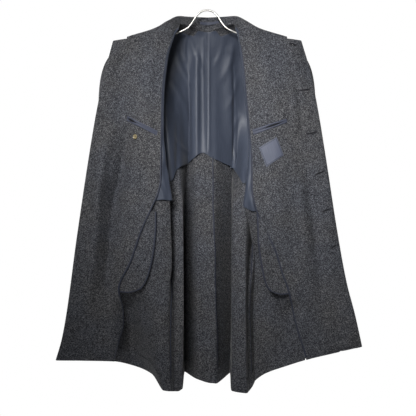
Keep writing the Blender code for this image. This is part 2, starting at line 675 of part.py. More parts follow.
# Collar, and the loop on its stand
stations, stand, fall = collar()
lean = tidy_normals(stand, FRONT)
wall("collar_stand", stand, lean, -COLLAR / 2, COLLAR / 2, "wool")
wall("collar_fall", fall, tidy_normals(fall, FRONT), -COLLAR / 2, COLLAR / 2, "wool")
s = np.linspace(*LOOP_STATIONS, 7)[:, None] + np.zeros((1, 2))
columns = np.interp(s, stations, np.arange(len(stations)))
rows = np.broadcast_to(2 * np.array(LOOP_HEIGHTS), s.shape)
bow = LOOP_BOW * np.sin(np.linspace(0, math.pi, 7))[:, None, None]
tilt = unit(read(lean, columns, rows))
wall("hanging_loop", read(stand, columns, rows) + tilt * bow, tilt,
     COLLAR / 2 + LOOP_GAP, COLLAR / 2 + LOOP_GAP + TAPE, "navy tape")

# Hanger: one round wire through its route
rows = np.array(WIRE_ROWS, float)
run = np.concatenate([[0], np.cumsum(np.linalg.norm(np.diff(rows, axis=0), axis=1))])
arm = cubic(run, rows[:, None, :], np.linspace(0, run[-1], WIRE_STEPS + 1))
route = np.concatenate([arm[:0:-1] * (-1, 1), arm])
curve = bpy.data.curves.new("hanger", "CURVE")
curve.dimensions = "3D"
curve.bevel_depth = WIRE_RADIUS * MM
curve.bevel_resolution = 1
curve.use_fill_caps = True
spline = curve.splines.new("POLY")
spline.points.add(len(route) - 1)
for point, (across, down) in zip(spline.points, route):
    point.co = (across * MM, WIRE_DEPTH * MM, -down * MM, 1)
wire = bpy.data.objects.new("hanger", curve)
bpy.context.collection.objects.link(wire)
wire.parent = coat
paint(wire, "wire")
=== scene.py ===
import bpy
import numpy as np
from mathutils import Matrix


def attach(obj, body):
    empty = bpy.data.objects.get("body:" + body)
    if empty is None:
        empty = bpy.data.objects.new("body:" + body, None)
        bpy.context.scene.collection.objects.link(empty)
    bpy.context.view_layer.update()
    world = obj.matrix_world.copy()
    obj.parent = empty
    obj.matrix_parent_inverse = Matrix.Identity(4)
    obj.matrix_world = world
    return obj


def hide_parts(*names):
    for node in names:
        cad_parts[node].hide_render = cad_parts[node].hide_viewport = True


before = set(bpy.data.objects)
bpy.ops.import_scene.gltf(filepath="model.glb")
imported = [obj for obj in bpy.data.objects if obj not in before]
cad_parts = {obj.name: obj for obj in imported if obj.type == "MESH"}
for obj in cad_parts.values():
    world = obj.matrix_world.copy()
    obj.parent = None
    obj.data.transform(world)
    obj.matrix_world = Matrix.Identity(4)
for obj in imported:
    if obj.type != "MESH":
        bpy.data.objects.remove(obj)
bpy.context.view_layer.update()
mm = 0.001
pi = np.pi
print("frame loaded:", len(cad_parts), "nodes")

# The cloth as the front view shows it. Each guide row is (down, across, depth) in mm,
# across measured from the middle, depth growing away from the viewer.
coat = {
    "eyeDistance": 2400.0, "eyeDown": 611.0,
    "wool": 2.0, "collar": 2.6, "lining": 0.8, "layer": 0.6,
    "signs": {"right": -1.0, "left": 1.0},
    "places": {"centreBack": 0.0, "foldEdge": 0.05, "backTrough": 0.10, "ridgeEdge": 0.165, "backRidge": 0.22, "sideSeam": 0.36,
               "frontSide": 0.44,
               "frontRim": 0.52, "frontInner": 0.60, "frontRecess": 0.72, "wingCrease": 0.86, "frontEdge": 1.0},
    "centreBack": ((62, 0, 46), (150, 0, 62), (290, 0, 70), (450, 0, 62), (600, 2, 40),
                   (780, 6, 24), (930, 10, 20), (1153, 17, 18)),
    "right": {
        "foldEdge": ((51, 42.5, 23.5), (58, 42, 34), (78, 41, 46), (150, 36, 60), (290, 41, 64), (450, 38, 63), (560, 31, 50),
                     (640, 28, 40), (780, 27, 30), (930, 28, 26), (1141, 28, 24)),
        "ridgeEdge": ((61, 128, 1), (69, 128, 21), (93, 125, 41), (160, 112, 54), (290, 102, 42), (440, 95, 24), (540, 84, -4),
                      (601, 77, -22), (778, 74, -42), (927, 73, -50), (1172, 79, -50)),
        "backTrough": ((40, 84, 1), (48, 84, 20), (70, 80, 40), (150, 62, 64), (290, 56, 78),
                       (450, 58, 86), (600, 70, 104), (780, 74, 114), (1116, 70, 118)),
        "backRidge": ((76, 160, 1), (84, 160, 22), (110, 156, 42), (170, 142, 54), (240, 138, 38), (290, 131, 10), (431, 121, -10),
                      (524, 112, -8), (601, 106, -16), (778, 95, -32), (927, 92, -42), (1178, 91, -44)),
        "sideSeam": ((112, 235, 0), (200, 246, 2), (330, 218, 8), (431, 194, 12), (601, 160, 16),
                     (680, 142, 12), (778, 122, -2), (865, 110, -22), (927, 104, -36), (1178, 104, -46)),
        "frontSide": ((76, 160, -1), (84, 160, -16), (110, 164, -28), (170, 182, -36), (290, 184, -38), (431, 172, -38),
                      (601, 142, -38), (778, 120, -46), (865, 114, -60), (927, 124, -68), (1178, 116, -68)),
        "frontRim": ((40, 84, -1), (48, 86, -14), (68, 99, -34), (152, 124, -56), (276, 136, -66), (431, 137, -72),
                     (524, 119, -70), (680, 112, -66), (778, 109, -64), (865, 122, -68), (927, 150, -74), (1176, 133, -68)),
        "frontInner": ((66, 112, -46), (152, 150, -68), (276, 163, -78), (431, 165, -84), (601, 142, -80),
                       (778, 152, -78), (865, 180, -66), (927, 196, -30), (1051, 184, -30), (1124, 169, 10)),
        "frontRecess": ((80, 160, -60), (152, 186, -76), (276, 205, -88), (431, 210, -92), (601, 215, -90),
                        (778, 235, -80), (865, 245, -58), (920, 243, 14), (1000, 236, 40), (1099, 225, 54)),
        "wingCrease": ((86, 245, -60), (152, 256, -68), (276, 258, -74), (431, 268, -76), (601, 280, -72),
                       (778, 290, -64), (865, 296, -56), (927, 300, -44), (1084, 305, -14)),
        "frontEdge": ((93, 290, -58), (186, 315, -80), (313, 342, -90), (437, 363, -93), (704, 403, -88),
                      (952, 437, -74), (1020, 450, -68), (1082, 468, -58)),
    },
    "left": {
        "foldEdge": ((51, 42.5, 23.5), (58, 42, 34), (78, 41, 46), (150, 25, 67), (290, 23, 75), (450, 24, 68), (560, 23, 48),
                     (640, 21, 34), (780, 21, 24), (930, 23, 20), (1154, 28, 20)),
        "ridgeEdge": ((61, 128, 1), (69, 128, 21), (93, 125, 41), (160, 106, 86), (290, 97, 109), (440, 92, 111), (540, 85, 54),
                      (601, 79, 8), (778, 76, -14), (927, 76, -28), (1176, 78, -34)),
        "backTrough": ((40, 84, 1), (48, 84, 20), (70, 80, 40), (150, 66, 78), (290, 72, 104),
                       (462, 77, 112), (601, 77, 114), (741, 77, 117), (1119, 72, 119)),
        "backRidge": ((76, 160, 1), (84, 160, 22), (110, 156, 42), (170, 140, 84), (290, 124, 114), (360, 120, 102), (431, 116, 82),
                      (540, 116, 4), (601, 117, -20), (778, 117, -46), (927, 118, -60), (1184, 120, -62)),
        "sideSeam": ((112, 235, 0), (200, 246, 2), (330, 218, 8), (431, 191, 20), (601, 155, 32),
                     (680, 144, 24), (778, 132, 4), (927, 124, -22), (1178, 128, -32)),
        "frontSide": ((76, 160, -1), (84, 160, -16), (110, 164, -28), (170, 180, -36), (290, 182, -38), (431, 172, -38),
                      (601, 150, -38), (680, 150, -28), (778, 143, -8), (927, 133, -10), (1165, 138, -18)),
        "frontRim": ((40, 84, -1), (48, 86, -14), (68, 96, -34), (152, 108, -56), (276, 121, -66), (431, 133, -72),
                     (524, 130, -70), (601, 121, -64), (680, 134, -40), (778, 150, 0), (927, 144, 18), (1147, 148, 4)),
        "frontInner": ((66, 112, -46), (152, 140, -66), (276, 150, -78), (431, 158, -84), (601, 146, -76),
                       (680, 158, -48), (778, 175, -14), (927, 190, 0), (1125, 177, 5)),
        "frontRecess": ((80, 160, -60), (152, 186, -76), (276, 205, -88), (431, 210, -92), (601, 212, -88),
                        (680, 215, -76), (778, 228, -54), (870, 244, -38), (935, 250, 4), (1010, 248, 10), (1100, 245, 2)),
        "wingCrease": ((86, 245, -60), (152, 268, -72), (276, 284, -74), (431, 286, -76), (601, 290, -74),
                       (778, 308, -62), (927, 312, -40), (1078, 317, -24)),
        "frontEdge": ((92, 291, -50), (189, 319, -56), (313, 344, -60), (446, 366, -62), (697, 405, -56),
                      (850, 434, -50), (933, 456, -46), (1040, 480, -40)),
    },
    "shoulder": ((84, 40), (235, 112)), "shoulderFade": 0.06,
    "underarm": 0.2045, "armholeHalf": 0.055, "sideSeamPlace": 0.36,
}
half = coat["wool"] / 2

# Creases pressed into the cloth, each row (across, down, across, down, bow, width, height) in mm:
# a ridge towards the viewer where the height is above zero, a trough where it is below.
creases = {
    "wingRight": (
        (205, 82, 279, 182, 4, 9, -7), (206, 96, 252, 168, -4, 16, 5), (270, 190, 262, 330, 6, 10, -3),
        (252, 380, 284, 580, -4, 18, -18), (282, 540, 311, 870, 3, 20, -22), (305, 380, 338, 580, 4, 19, 18),
        (338, 540, 367, 880, -3, 19, 22),
        (392, 700, 418, 1000, 3, 26, 4), (176, 150, 168, 320, 5, 16, 3), (214, 400, 232, 560, -6, 20, 4),
        (190, 470, 205, 600, 4, 10, -3), (246, 560, 262, 760, 3, 16, 3), (330, 1000, 420, 1062, -8, 26, -6),
        (352, 930, 366, 1060, 0, 22, 5), (300, 1010, 312, 1080, 0, 14, 4), (285, 700, 300, 850, 4, 12, 3)),
    "wingLeft": (
        (236, 106, 292, 352, 10, 8, -3.4), (292, 352, 286, 500, -4, 12, -3), (300, 480, 336, 740, 4, 18, -9),
        (334, 690, 360, 960, 2, 20, -10), (286, 480, 312, 760, 3, 18, 6), (366, 520, 392, 860, 4, 18, 3),
        (190, 150, 176, 330, -5, 18, 3),
        (172, 480, 190, 640, 4, 12, -3), (214, 540, 240, 720, 3, 18, 4), (380, 780, 412, 980, -4, 24, -4),
        (350, 900, 372, 1030, 3, 26, 5), (268, 250, 276, 420, 4, 14, 3), (416, 930, 450, 1020, 3, 18, 4),
        (300, 930, 322, 1060, 3, 18, -4)),
    "backRight": (
        (30, 520, 24, 1120, 3, 13, 4), (52, 600, 44, 1100, 2, 9, -4), (100, 640, 92, 980, -3, 9, 3),
        (110, 820, 101, 1150, 2, 7, -3), (84, 560, 80, 760, 2, 10, -3), (12, 760, 8, 1100, 2, 8, -3)),
    "backLeft": (
        (38, 540, 36, 1110, -3, 11, -3), (28, 600, 26, 1050, 2, 8, 3), (98, 640, 102, 980, 3, 9, 3),
        (112, 760, 116, 1120, 2, 8, -3), (80, 560, 78, 800, -3, 10, 3), (52, 700, 50, 1100, 2, 9, -3)),
    "liningRight": (
        (31, 150, 30, 470, 2, 9, 9), (12, 90, 8, 440, 1, 5, 2.4), (62, 72, 66, 150, 6, 7, 4),
        (58, 80, 34, 190, -8, 8, 3), (88, 250, 84, 500, 3, 10, 2.4), (70, 240, 64, 430, -3, 9, 2), (30, 120, 14, 190, 3, 6, 2.4),
        (100, 110, 56, 220, 6, 8, 3), (110, 220, 62, 330, -5, 9, 3), (104, 400, 60, 440, 3, 7, 2.4),
        (104, 330, 108, 530, 2, 8, 5), (120, 380, 122, 540, -2, 7, 4)),
    "liningLeft": (
        (7, 70, 6, 430, -1, 4, 2.4), (50, 84, 26, 165, 4, 8, 2.4), (70, 130, 72, 480, -3, 19, 12), (78, 170, 80, 470, 2, 5, -3),
        (34, 380, 54, 440, 2, 6, 1.6), (84, 90, 44, 210, 6, 9, 3), (92, 210, 58, 300, 5, 8, 2.4), (96, 330, 70, 400, -4, 8, 1.6)),
    "sideRight": ((128, 400, 150, 560, 4, 8, 4), (142, 480, 118, 590, 3, 6, 3), (156, 520, 128, 596, -3, 6, 3),
                  (120, 360, 132, 470, 2, 7, 3)),
    "sideLeft": ((124, 420, 136, 590, -3, 8, 4), (132, 520, 120, 606, 2, 6, 3), (112, 360, 124, 480, 2, 7, 3)),
}


# Cubic through values at the knots whose slopes never swing past a high or low value.
def cubicThrough(knots, values, at):
    knots, values = np.asarray(knots, float), np.asarray(values, float)
    values = np.broadcast_to(values, (len(knots), len(at), values.shape[2]))
    step = np.diff(knots)[:, None, None]
    rise = np.diff(values, axis=0) / step
    slope = np.empty(values.shape)
    slope[0], slope[-1] = rise[0], rise[-1]
    same = rise[:-1] * rise[1:] > 0
    near, far = 2 * step[1:] + step[:-1], step[1:] + 2 * step[:-1]
    safe = np.where(same, near / np.where(same, rise[:-1], 1) + far / np.where(same, rise[1:], 1), 1)
    slope[1:-1] = np.where(same, (near + far) / safe, 0)
    cell = np.clip(np.searchsorted(knots, at, side="right") - 1, 0, len(knots) - 2)
    one = np.arange(len(at))
    wide = np.diff(knots)[cell][:, None]
    t = ((at - knots[cell]) / np.diff(knots)[cell])[:, None]
    return (values[cell, one] * (1 + 2 * t) * (1 - t) ** 2 + slope[cell, one] * wide * t * (1 - t) ** 2
            + values[cell + 1, one] * t * t * (3 - 2 * t) - slope[cell + 1, one] * wide * t * t * (1 - t))


# One guide line read at shares of its length: across, down, depth.
def guideLine(rows, share):
    rows = np.array(rows, float)
    down = rows[0, 0] + share * (rows[-1, 0] - rows[0, 0])
    flat = cubicThrough(rows[:, 0], rows[:, None, 1:], down)
    return np.column_stack([flat[:, 0], down, flat[:, 1]])


# The cloth at place u round the coat and share v of its length: guide lines along v, a cubic across them along u.
def clothView(side, u, v):
    shape = np.shape(u)
    u, v = np.ravel(u).astype(float), np.ravel(np.broadcast_to(v, shape)).astype(float)
    shares, back = np.unique(v, return_inverse=True)
    names, knots = list(coat["places"])[1:], list(coat["places"].values())
    lines = [guideLine(coat[side][name], shares) for name in names]
    middle = guideLine(coat["centreBack"], shares) * (coat["signs"][side], 1, 1)
    ghost = lines[0] * (-1, 1, 1) + 2 * middle * (1, 0, 0)
    knots = [-knots[1]] + knots
    out = cubicThrough(knots, np.stack([ghost, middle] + lines)[:, back], u)
    onSeam = (u >= coat["places"]["backTrough"]) & (u <= coat["places"]["frontRim"]) & (v < coat["shoulderFade"])
    if onSeam.any():  # the shoulder seam is straight
        top = [guideLine(coat[side][name], np.zeros(1)) for name in names]
        edge = cubicThrough(knots, np.stack([top[0] * (-1, 1, 1), guideLine(coat["centreBack"], np.zeros(1))] + top), u)
        (a0, d0), (a1, d1) = coat["shoulder"]
        straight = d0 + (edge[:, 0] - a0) * (d1 - d0) / (a1 - a0)
        out[:, 1] += np.where(onSeam, (straight - edge[:, 1]) * (1 - v / coat["shoulderFade"]).clip(0, 1), 0)
    return out.reshape(shape + (3,))


# True place in mm of a spot of the front view: the line of sight is followed to its depth.
def inSpace(side, view):
    spread = 1 + view[..., 2] / coat["eyeDistance"]
    down = coat["eyeDown"] + (view[..., 1] - coat["eyeDown"]) * spread
    return np.stack([coat["signs"][side] * view[..., 0] * spread, view[..., 2], -down], -1)


# Height of the creases at each spot: a bell across each bowed line, faded out at its two ends.
def creaseHeight(view, rows):
    total = np.zeros(view.shape[:-1])
    for a0, d0, a1, d1, bow, width, height in rows:
        run = np.array([a1 - a0, d1 - d0], float)
        size = np.hypot(*run)
        rel = view[..., :2] - (a0, d0)
        t = rel @ run / size ** 2
        on = t.clip(0, 1)
        off = (rel[..., 0] * run[1] - rel[..., 1] * run[0]) / size - bow * 4 * on * (1 - on)
        past = (t - on) * size
        fade = np.sin(pi * (0.12 + 0.76 * on)) ** 0.7
        total += height * fade * np.exp(-(off / width) ** 2 - (past / (1.4 * width)) ** 2)
    return total


def unit(vectors):
    return vectors / np.maximum(np.linalg.norm(vectors, axis=-1, keepdims=True), 1e-12)


# Directions towards the wearer, from the grid's own two slopes.
def gridNormals(points, sign):
    return unit(sign * np.cross(np.gradient(points, axis=0), np.gradient(points, axis=1)))


# Lengths along the grid's columns and rows, in metres: a metric UV map for the weave.
def clothUv(points):
    across = np.linalg.norm(np.diff(points, axis=0), axis=-1).cumsum(0)
    along = np.linalg.norm(np.diff(points, axis=1), axis=-1).cumsum(1)
    uv = np.zeros(points.shape[:2] + (2,))
    uv[1:, :, 0], uv[:, 1:, 1] = across, along
    return uv * mm


def smooth(x):
    x = np.clip(x, 0, 1)
    return x * x * (3 - 2 * x)


def armholeHalf(v):
    h = coat["underarm"] / 2
    return coat["armholeHalf"] * np.sqrt(np.clip(1 - ((v - h) / h) ** 2, 0, 1)) * (v <= coat["underarm"])


def addPiece(name, verts, faces, uv, finish, nodes=(), slot="wool"):
    # faces is a list of index arrays, one for each number of corners
    mesh = bpy.data.meshes.new(name)
    verts = np.asarray(verts, float)
    volume = sum(np.einsum("ij,ij->i", verts[f[:, 0]], np.cross(verts[f[:, k]], verts[f[:, k + 1]])).sum()
                 for f in faces for k in range(1, f.shape[1] - 1))
    faces = [f if volume > 0 else f[:, ::-1] for f in faces]
    loops = np.concatenate([f.ravel() for f in faces])
    sizes = np.concatenate([np.full(len(f), f.shape[1]) for f in faces])
    mesh.vertices.add(len(verts))
    mesh.vertices.foreach_set("co", (verts * mm).ravel())
    mesh.loops.add(len(loops))
    mesh.loops.foreach_set("vertex_index", loops.astype(np.int32))
    mesh.polygons.add(len(sizes))
    mesh.polygons.foreach_set("loop_start", np.concatenate([[0], sizes.cumsum()[:-1]]).astype(np.int32))
    mesh.polygons.foreach_set("use_smooth", np.ones(len(sizes), bool))
    mesh.update(calc_edges=True)
    layer = mesh.uv_layers.new(name="cloth")
    layer.data.foreach_set("uv", np.asarray(uv, np.float32)[loops].ravel())
    mesh.materials.append(finish)
    piece = bpy.data.objects.new(name, mesh)
    bpy.context.collection.objects.link(piece)
    if nodes:
        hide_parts(*nodes)
    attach(piece, "root")
    return piece


# Closed wall of cloth: two sheets moved off a grid along its normals, joined by a half-round rim.
# A hole is (row, first column, last column): the quads between that row and the next are left out.
def clothWall(points, normals, low, high, holes=(), steps=4):
    columns, rows = points.shape[:2]
    count = columns * rows
    ids = np.arange(count).reshape(columns, rows)
    quads = np.stack([ids[:-1, :-1], ids[1:, :-1], ids[1:, 1:], ids[:-1, 1:]], -1)
    keep = np.ones(quads.shape[:2], bool)
    for row, first, last in holes:
        keep[first:last, row] = False
    quads = quads[keep]
    verts = [(points + normals * high).reshape(-1, 3), (points + normals * low).reshape(-1, 3)]
    faces = [quads, quads[:, ::-1] + count]
    outward = np.zeros(points.shape)
    outward[0] += unit(points[0] - points[1])
    outward[-1] += unit(points[-1] - points[-2])
    outward[:, 0] += unit(points[:, 0] - points[:, 1])
    outward[:, -1] += unit(points[:, -1] - points[:, -2])
    loopIds = [np.concatenate([ids[0], ids[1:, -1], ids[-1, -2::-1], ids[-2:0:-1, 0]])]
    for row, first, last in holes:
        span = slice(first, last + 1)
        outward[span, row] = unit(points[span, row + 1] - points[span, row])
        outward[span, row + 1] = -outward[span, row]
        loopIds.append(np.concatenate([ids[span, row], ids[span, row + 1][::-1]]))
    centre, radius = points + normals * (low + high) / 2, (high - low) / 2
    source, total = [np.arange(count), np.arange(count)], 2 * count
    for loop in loopIds:
        c, n, o = (a.reshape(-1, 3)[loop] for a in (centre, normals, unit(outward)))
        rings = [loop]
        for k in range(1, steps):
            angle = pi * k / steps
            verts.append(c + n * radius * np.cos(angle) + o * radius * np.sin(angle))
            rings.append(total + np.arange(len(loop)))
            source.append(loop)
            total += len(loop)
        rings.append(loop + count)
        for a, b in zip(rings, rings[1:]):
            faces.append(np.stack([a, np.roll(a, -1), np.roll(b, -1), b], -1))
    return np.concatenate(verts), [np.concatenate(faces)], np.concatenate(source)


def addCloth(name, points, normals, low, high, finish, nodes=(), slot="wool", holes=(), uv=None):
    verts, faces, source = clothWall(points, normals, low, high, holes)
    uv = clothUv(points) if uv is None else uv
    return addPiece(name, verts, faces, uv.reshape(-1, 2)[source], finish, nodes, slot)


# Oval tube: an ellipse with one radius along the side direction and one along the normal, carried along a path.
def ovalTube(path, sideways, normal, wide, thick, segments=12, closed=False):
    angle = np.linspace(0, 2 * pi, segments, endpoint=False)
    ring = (sideways[:, None] * (np.cos(angle)[None, :, None] * np.reshape(wide, (-1, 1, 1)))
            + normal[:, None] * (np.sin(angle)[None, :, None] * np.reshape(thick, (-1, 1, 1))))
    verts = (path[:, None] + ring).reshape(-1, 3)
    ids = np.arange(len(path) * segments).reshape(len(path), segments)
    first, second = (ids, np.roll(ids, -1, 0)) if closed else (ids[:-1], ids[1:])
    quads = np.stack([first, np.roll(first, -1, 1), np.roll(second, -1, 1), second], -1).reshape(-1, 4)
    faces = [quads] if closed else [quads, np.stack([ids[0][::-1], ids[-1]])]
    run = np.concatenate([[0], np.linalg.norm(np.diff(path, axis=0), axis=1).cumsum()])
    uv = np.stack(np.broadcast_arrays(angle[None] * np.mean(wide), run[:, None]), -1).reshape(-1, 2) * mm
    return verts, faces, uv


# Several meshes given as (verts, faces, uv), put together as one.
def joined(parts):
    start, verts, uvs, faces = 0, [], [], {}
    for v, fs, uv in parts:
        for f in fs:
            faces.setdefault(f.shape[1], []).append(f + start)
        verts.append(v)
        uvs.append(uv)
        start += len(v)
    return np.concatenate(verts), [np.concatenate(f) for f in faces.values()], np.concatenate(uvs)


# Finishes
def newFinish(name, colour, roughness, metallic=0.0, sheen=0.0, sheenRoughness=0.5):
    material = bpy.data.materials.new(name)
    material.use_nodes = True
    shader = material.node_tree.nodes["Principled BSDF"]
    shader.inputs["Base Color"].default_value = (*colour, 1)
    shader.inputs["Roughness"].default_value = roughness
    shader.inputs["Metallic"].default_value = metallic
    shader.inputs["Sheen Weight"].default_value = sheen
    shader.inputs["Sheen Roughness"].default_value = sheenRoughness
    return material, material.node_tree, shader


def addNode(tree, kind, values=None, **settings):
    node = tree.nodes.new(kind)
    for key, value in settings.items():
        setattr(node, key, value)
    for key, value in (values or {}).items():
        node.inputs[key].default_value = value
    return node


def ramp(tree, source, stops):
    node = tree.nodes.new("ShaderNodeValToRGB")
    band = node.color_ramp
    while len(band.elements) < len(stops):
        band.elements.new(0.5)
    for element, (place, colour) in zip(band.elements, stops):
        element.position = place
        element.color = (*colour, 1)
    tree.links.new(source, node.inputs["Fac"])
    return node.outputs["Color"]


def combine(tree, kind, a, b, factor=None, amount=1.0):
    node = addNode(tree, "ShaderNodeMix", data_type="RGBA", blend_type=kind)
    node.inputs[0].default_value = amount
    if factor is not None:
        tree.links.new(factor, node.inputs[0])
    for socket, value in ((node.inputs[6], a), (node.inputs[7], b)):
        if isinstance(value, tuple):
            socket.default_value = (*value, 1)
        else:
            tree.links.new(value, socket)
    return node.outputs[2]


# Salt-and-pepper tweed: cells of yarn in random greys of two sizes, tinted a little unevenly, with a few stray pale slubs.
tweed = {"fleck": 430, "fine": 900, "grain": 1500, "tint": 9, "twill": 270, "slub": 40,
         "black": (0.010, 0.0105, 0.012), "dark": (0.032, 0.033, 0.037), "mid": (0.066, 0.067, 0.073), "pale": (0.17, 0.17, 0.175)}


def tweedFinish(name):
    material, tree, shader = newFinish(name, tweed["mid"], 0.95, sheen=0.08, sheenRoughness=0.4)
    shader.inputs["Specular IOR Level"].default_value = 0.2
    link = tree.links.new
    uv = addNode(tree, "ShaderNodeUVMap", uv_map="cloth").outputs["UV"]
    place = addNode(tree, "ShaderNodeTexCoord").outputs["Object"]  # yarn cells stay round where the cloth is drawn out
    fleck = addNode(tree, "ShaderNodeTexVoronoi", {"Scale": tweed["fleck"], "Randomness": 1.0})
    fine = addNode(tree, "ShaderNodeTexVoronoi", {"Scale": tweed["fine"], "Randomness": 1.0})
    grain = addNode(tree, "ShaderNodeTexNoise", {"Scale": tweed["grain"], "Detail": 2.0, "Roughness": 0.6})
    tint = addNode(tree, "ShaderNodeTexNoise", {"Scale": tweed["tint"], "Detail": 2.0})
    slub = addNode(tree, "ShaderNodeTexVoronoi", {"Scale": tweed["slub"], "Randomness": 1.0})
    for node in (fleck, fine, grain, tint, slub):
        link(place, node.inputs["Vector"])
    blend = combine(tree, "MIX", ramp(tree, fleck.outputs["Color"], ((0.0, (0, 0, 0)), (1.0, (1, 1, 1)))),
                    ramp(tree, fine.outputs["Color"], ((0.0, (0, 0, 0)), (1.0, (1, 1, 1)))), amount=0.5)
    cloth = ramp(tree, blend, ((0.22, tweed["black"]), (0.42, tweed["dark"]), (0.58, tweed["mid"]), (0.80, tweed["pale"])))
    shade = ramp(tree, tint.outputs["Fac"], ((0.36, (0.93, 0.96, 1.03)), (0.64, (1.01, 1.0, 0.99))))
    cloth = combine(tree, "MULTIPLY", cloth, shade)
    speck = ramp(tree, slub.outputs["Distance"], ((0.045, (1, 1, 1)), (0.07, (0, 0, 0))))
    rare = ramp(tree, slub.outputs["Color"], ((0.84, (0, 0, 0)), (0.88, (1, 1, 1))))
    cloth = combine(tree, "MIX", cloth, (0.30, 0.30, 0.29), factor=combine(tree, "MULTIPLY", speck, rare))
    link(cloth, shader.inputs["Base Color"])
    twill = addNode(tree, "ShaderNodeTexWave", {"Scale": tweed["twill"], "Distortion": 2.0, "Detail": 1.0, "Detail Scale": 2.0},
                    bands_direction="DIAGONAL")
    link(uv, twill.inputs["Vector"])
    nap = combine(tree, "MIX", combine(tree, "MIX", blend, grain.outputs["Fac"], amount=0.5), twill.outputs["Fac"], amount=0.25)
    bump = addNode(tree, "ShaderNodeBump", {"Strength": 0.25, "Distance": 0.0006})
    link(nap, bump.inputs["Height"])
    link(bump.outputs["Normal"], shader.inputs["Normal"])
    return material


# Satin: long lighter and darker streaks along the warp, a painted sheen in the colour, over a fine twill.
def satinFinish(name, low, high, roughness, sheen):
    material, tree, shader = newFinish(name, high, roughness, sheen=sheen, sheenRoughness=0.35)
    shader.inputs["Specular IOR Level"].default_value = 0.35
    link = tree.links.new
    uv = addNode(tree, "ShaderNodeUVMap", uv_map="cloth").outputs["UV"]
    stretch = addNode(tree, "ShaderNodeMapping", {"Scale": (900.0, 24.0, 1.0)})
    link(uv, stretch.inputs["Vector"])
    streak = addNode(tree, "ShaderNodeTexNoise", {"Scale": 1.0, "Detail": 3.0, "Roughness": 0.6})
    link(stretch.outputs["Vector"], streak.inputs["Vector"])
    # the streaks' lighter and darker colour is painted sheen
    link(ramp(tree, streak.outputs["Fac"], ((0.3, low), (0.7, high))), shader.inputs["Base Color"])
    twill = addNode(tree, "ShaderNodeTexWave", {"Scale": 300.0, "Distortion": 1.0}, bands_direction="DIAGONAL")
    link(uv, twill.inputs["Vector"])
    bump = addNode(tree, "ShaderNodeBump", {"Strength": 0.18, "Distance": 0.0004})
    link(combine(tree, "MIX", streak.outputs["Fac"], twill.outputs["Fac"], amount=0.4), bump.inputs["Height"])
    link(bump.outputs["Normal"], shader.inputs["Normal"])
    return material


# Horn or metal: stretched noise through the body colours.
def streakedFinish(name, low, high, roughness, metallic, scale):
    material, tree, shader = newFinish(name, high, roughness, metallic)
    where = addNode(tree, "ShaderNodeTexCoord").outputs["Object"]
    stretch = addNode(tree, "ShaderNodeMapping", {"Scale": scale})
    tree.links.new(where, stretch.inputs["Vector"])
    streak = addNode(tree, "ShaderNodeTexNoise", {"Scale": 1.0, "Detail": 4.0, "Roughness": 0.6})
    tree.links.new(stretch.outputs["Vector"], streak.inputs["Vector"])
    tree.links.new(ramp(tree, streak.outputs["Fac"], ((0.3, low), (0.7, high))), shader.inputs["Base Color"])
    return material


finish = {
    "wool": tweedFinish("charcoal tweed"),
    "satin": satinFinish("slate satin", (0.034, 0.042, 0.062), (0.054, 0.064, 0.091), 0.50, 0.12),
    "tape": satinFinish("navy tape", (0.016, 0.019, 0.032), (0.030, 0.034, 0.052), 0.65, 0.05),
    "jet": satinFinish("navy pocket lips", (0.034, 0.039, 0.060), (0.056, 0.063, 0.092), 0.60, 0.10),
    # near-black painted shade, laid over the pocket mouths and buttonhole slits where only the dark inside shows
    "paintedShadeBlack": satinFinish("painted shade black", (0.002, 0.002, 0.004), (0.004, 0.005, 0.008), 0.8, 0.0),
    "label": satinFinish("navy label weave", (0.060, 0.068, 0.100), (0.082, 0.092, 0.130), 0.55, 0.2),
    "thread": satinFinish("charcoal thread", (0.006, 0.006, 0.009), (0.014, 0.014, 0.018), 0.7, 0.05),
    "horn": streakedFinish("brown horn", (0.012, 0.007, 0.004), (0.075, 0.045, 0.022), 0.28, 0.0, (260.0, 90.0, 90.0)),
    # pale yellowish horn for the inner button: partly its own colour, partly a painted highlight lightening it
    "paleHornWithHighlight": streakedFinish("pale horn with painted highlight", (0.10, 0.075, 0.035), (0.34, 0.29, 0.17), 0.25, 0.0, (420.0, 200.0, 200.0)),
    "wire": streakedFinish("bare wire", (0.52, 0.51, 0.48), (0.80, 0.78, 0.73), 0.32, 1.0, (60.0, 900.0, 300.0)),
}
print("finishes ready:", len(finish))


# The cloth of one part of the coat on a grid: guide surface, creases towards the viewer, then its normals.
def clothGrid(side, u, v, creaseRows=(), lift=None):
    view = clothView(side, u, v)
    view[..., 2] -= creaseHeight(view, creaseRows)
    if lift is not None:
        view[..., 2] -= lift(view)
    points = inSpace(side, view)
    return {"view": view, "points": points, "normals": gridNormals(points, -coat["signs"][side])}


def layered(grid, offset):
    return grid["points"] + grid["normals"] * (np.asarray(offset)[..., None] if np.ndim(offset) else offset)


# Place u, v of the cloth that shows at a spot of the front view: nearest of a coarse net, then Newton steps.
def locate(side, across, down, firstPlace):
    u, v = np.meshgrid(np.linspace(firstPlace, 1, 60), np.linspace(0, 1, 120), indexing="ij")
    net = clothView(side, u, v)[..., :2].reshape(-1, 2)
    target = np.stack([np.ravel(across), np.ravel(down)], -1).astype(float)
    best = ((net[None] - target[:, None]) ** 2).sum(-1).argmin(1)
    u, v = u.ravel()[best], v.ravel()[best]
    for turn in range(12):
        here = clothView(side, u, v)[:, :2]
        du = (clothView(side, u + 1e-4, v)[:, :2] - here) / 1e-4
        dv = (clothView(side, u, v + 1e-4)[:, :2] - here) / 1e-4
        miss, area = target - here, du[:, 0] * dv[:, 1] - du[:, 1] * dv[:, 0]
        u = np.clip(u + 0.8 * (miss[:, 0] * dv[:, 1] - miss[:, 1] * dv[:, 0]) / area, firstPlace, 1)
        v = np.clip(v + 0.8 * (du[:, 0] * miss[:, 1] - du[:, 1] * miss[:, 0]) / area, 0, 1)
    return u.reshape(np.shape(across)), v.reshape(np.shape(across))


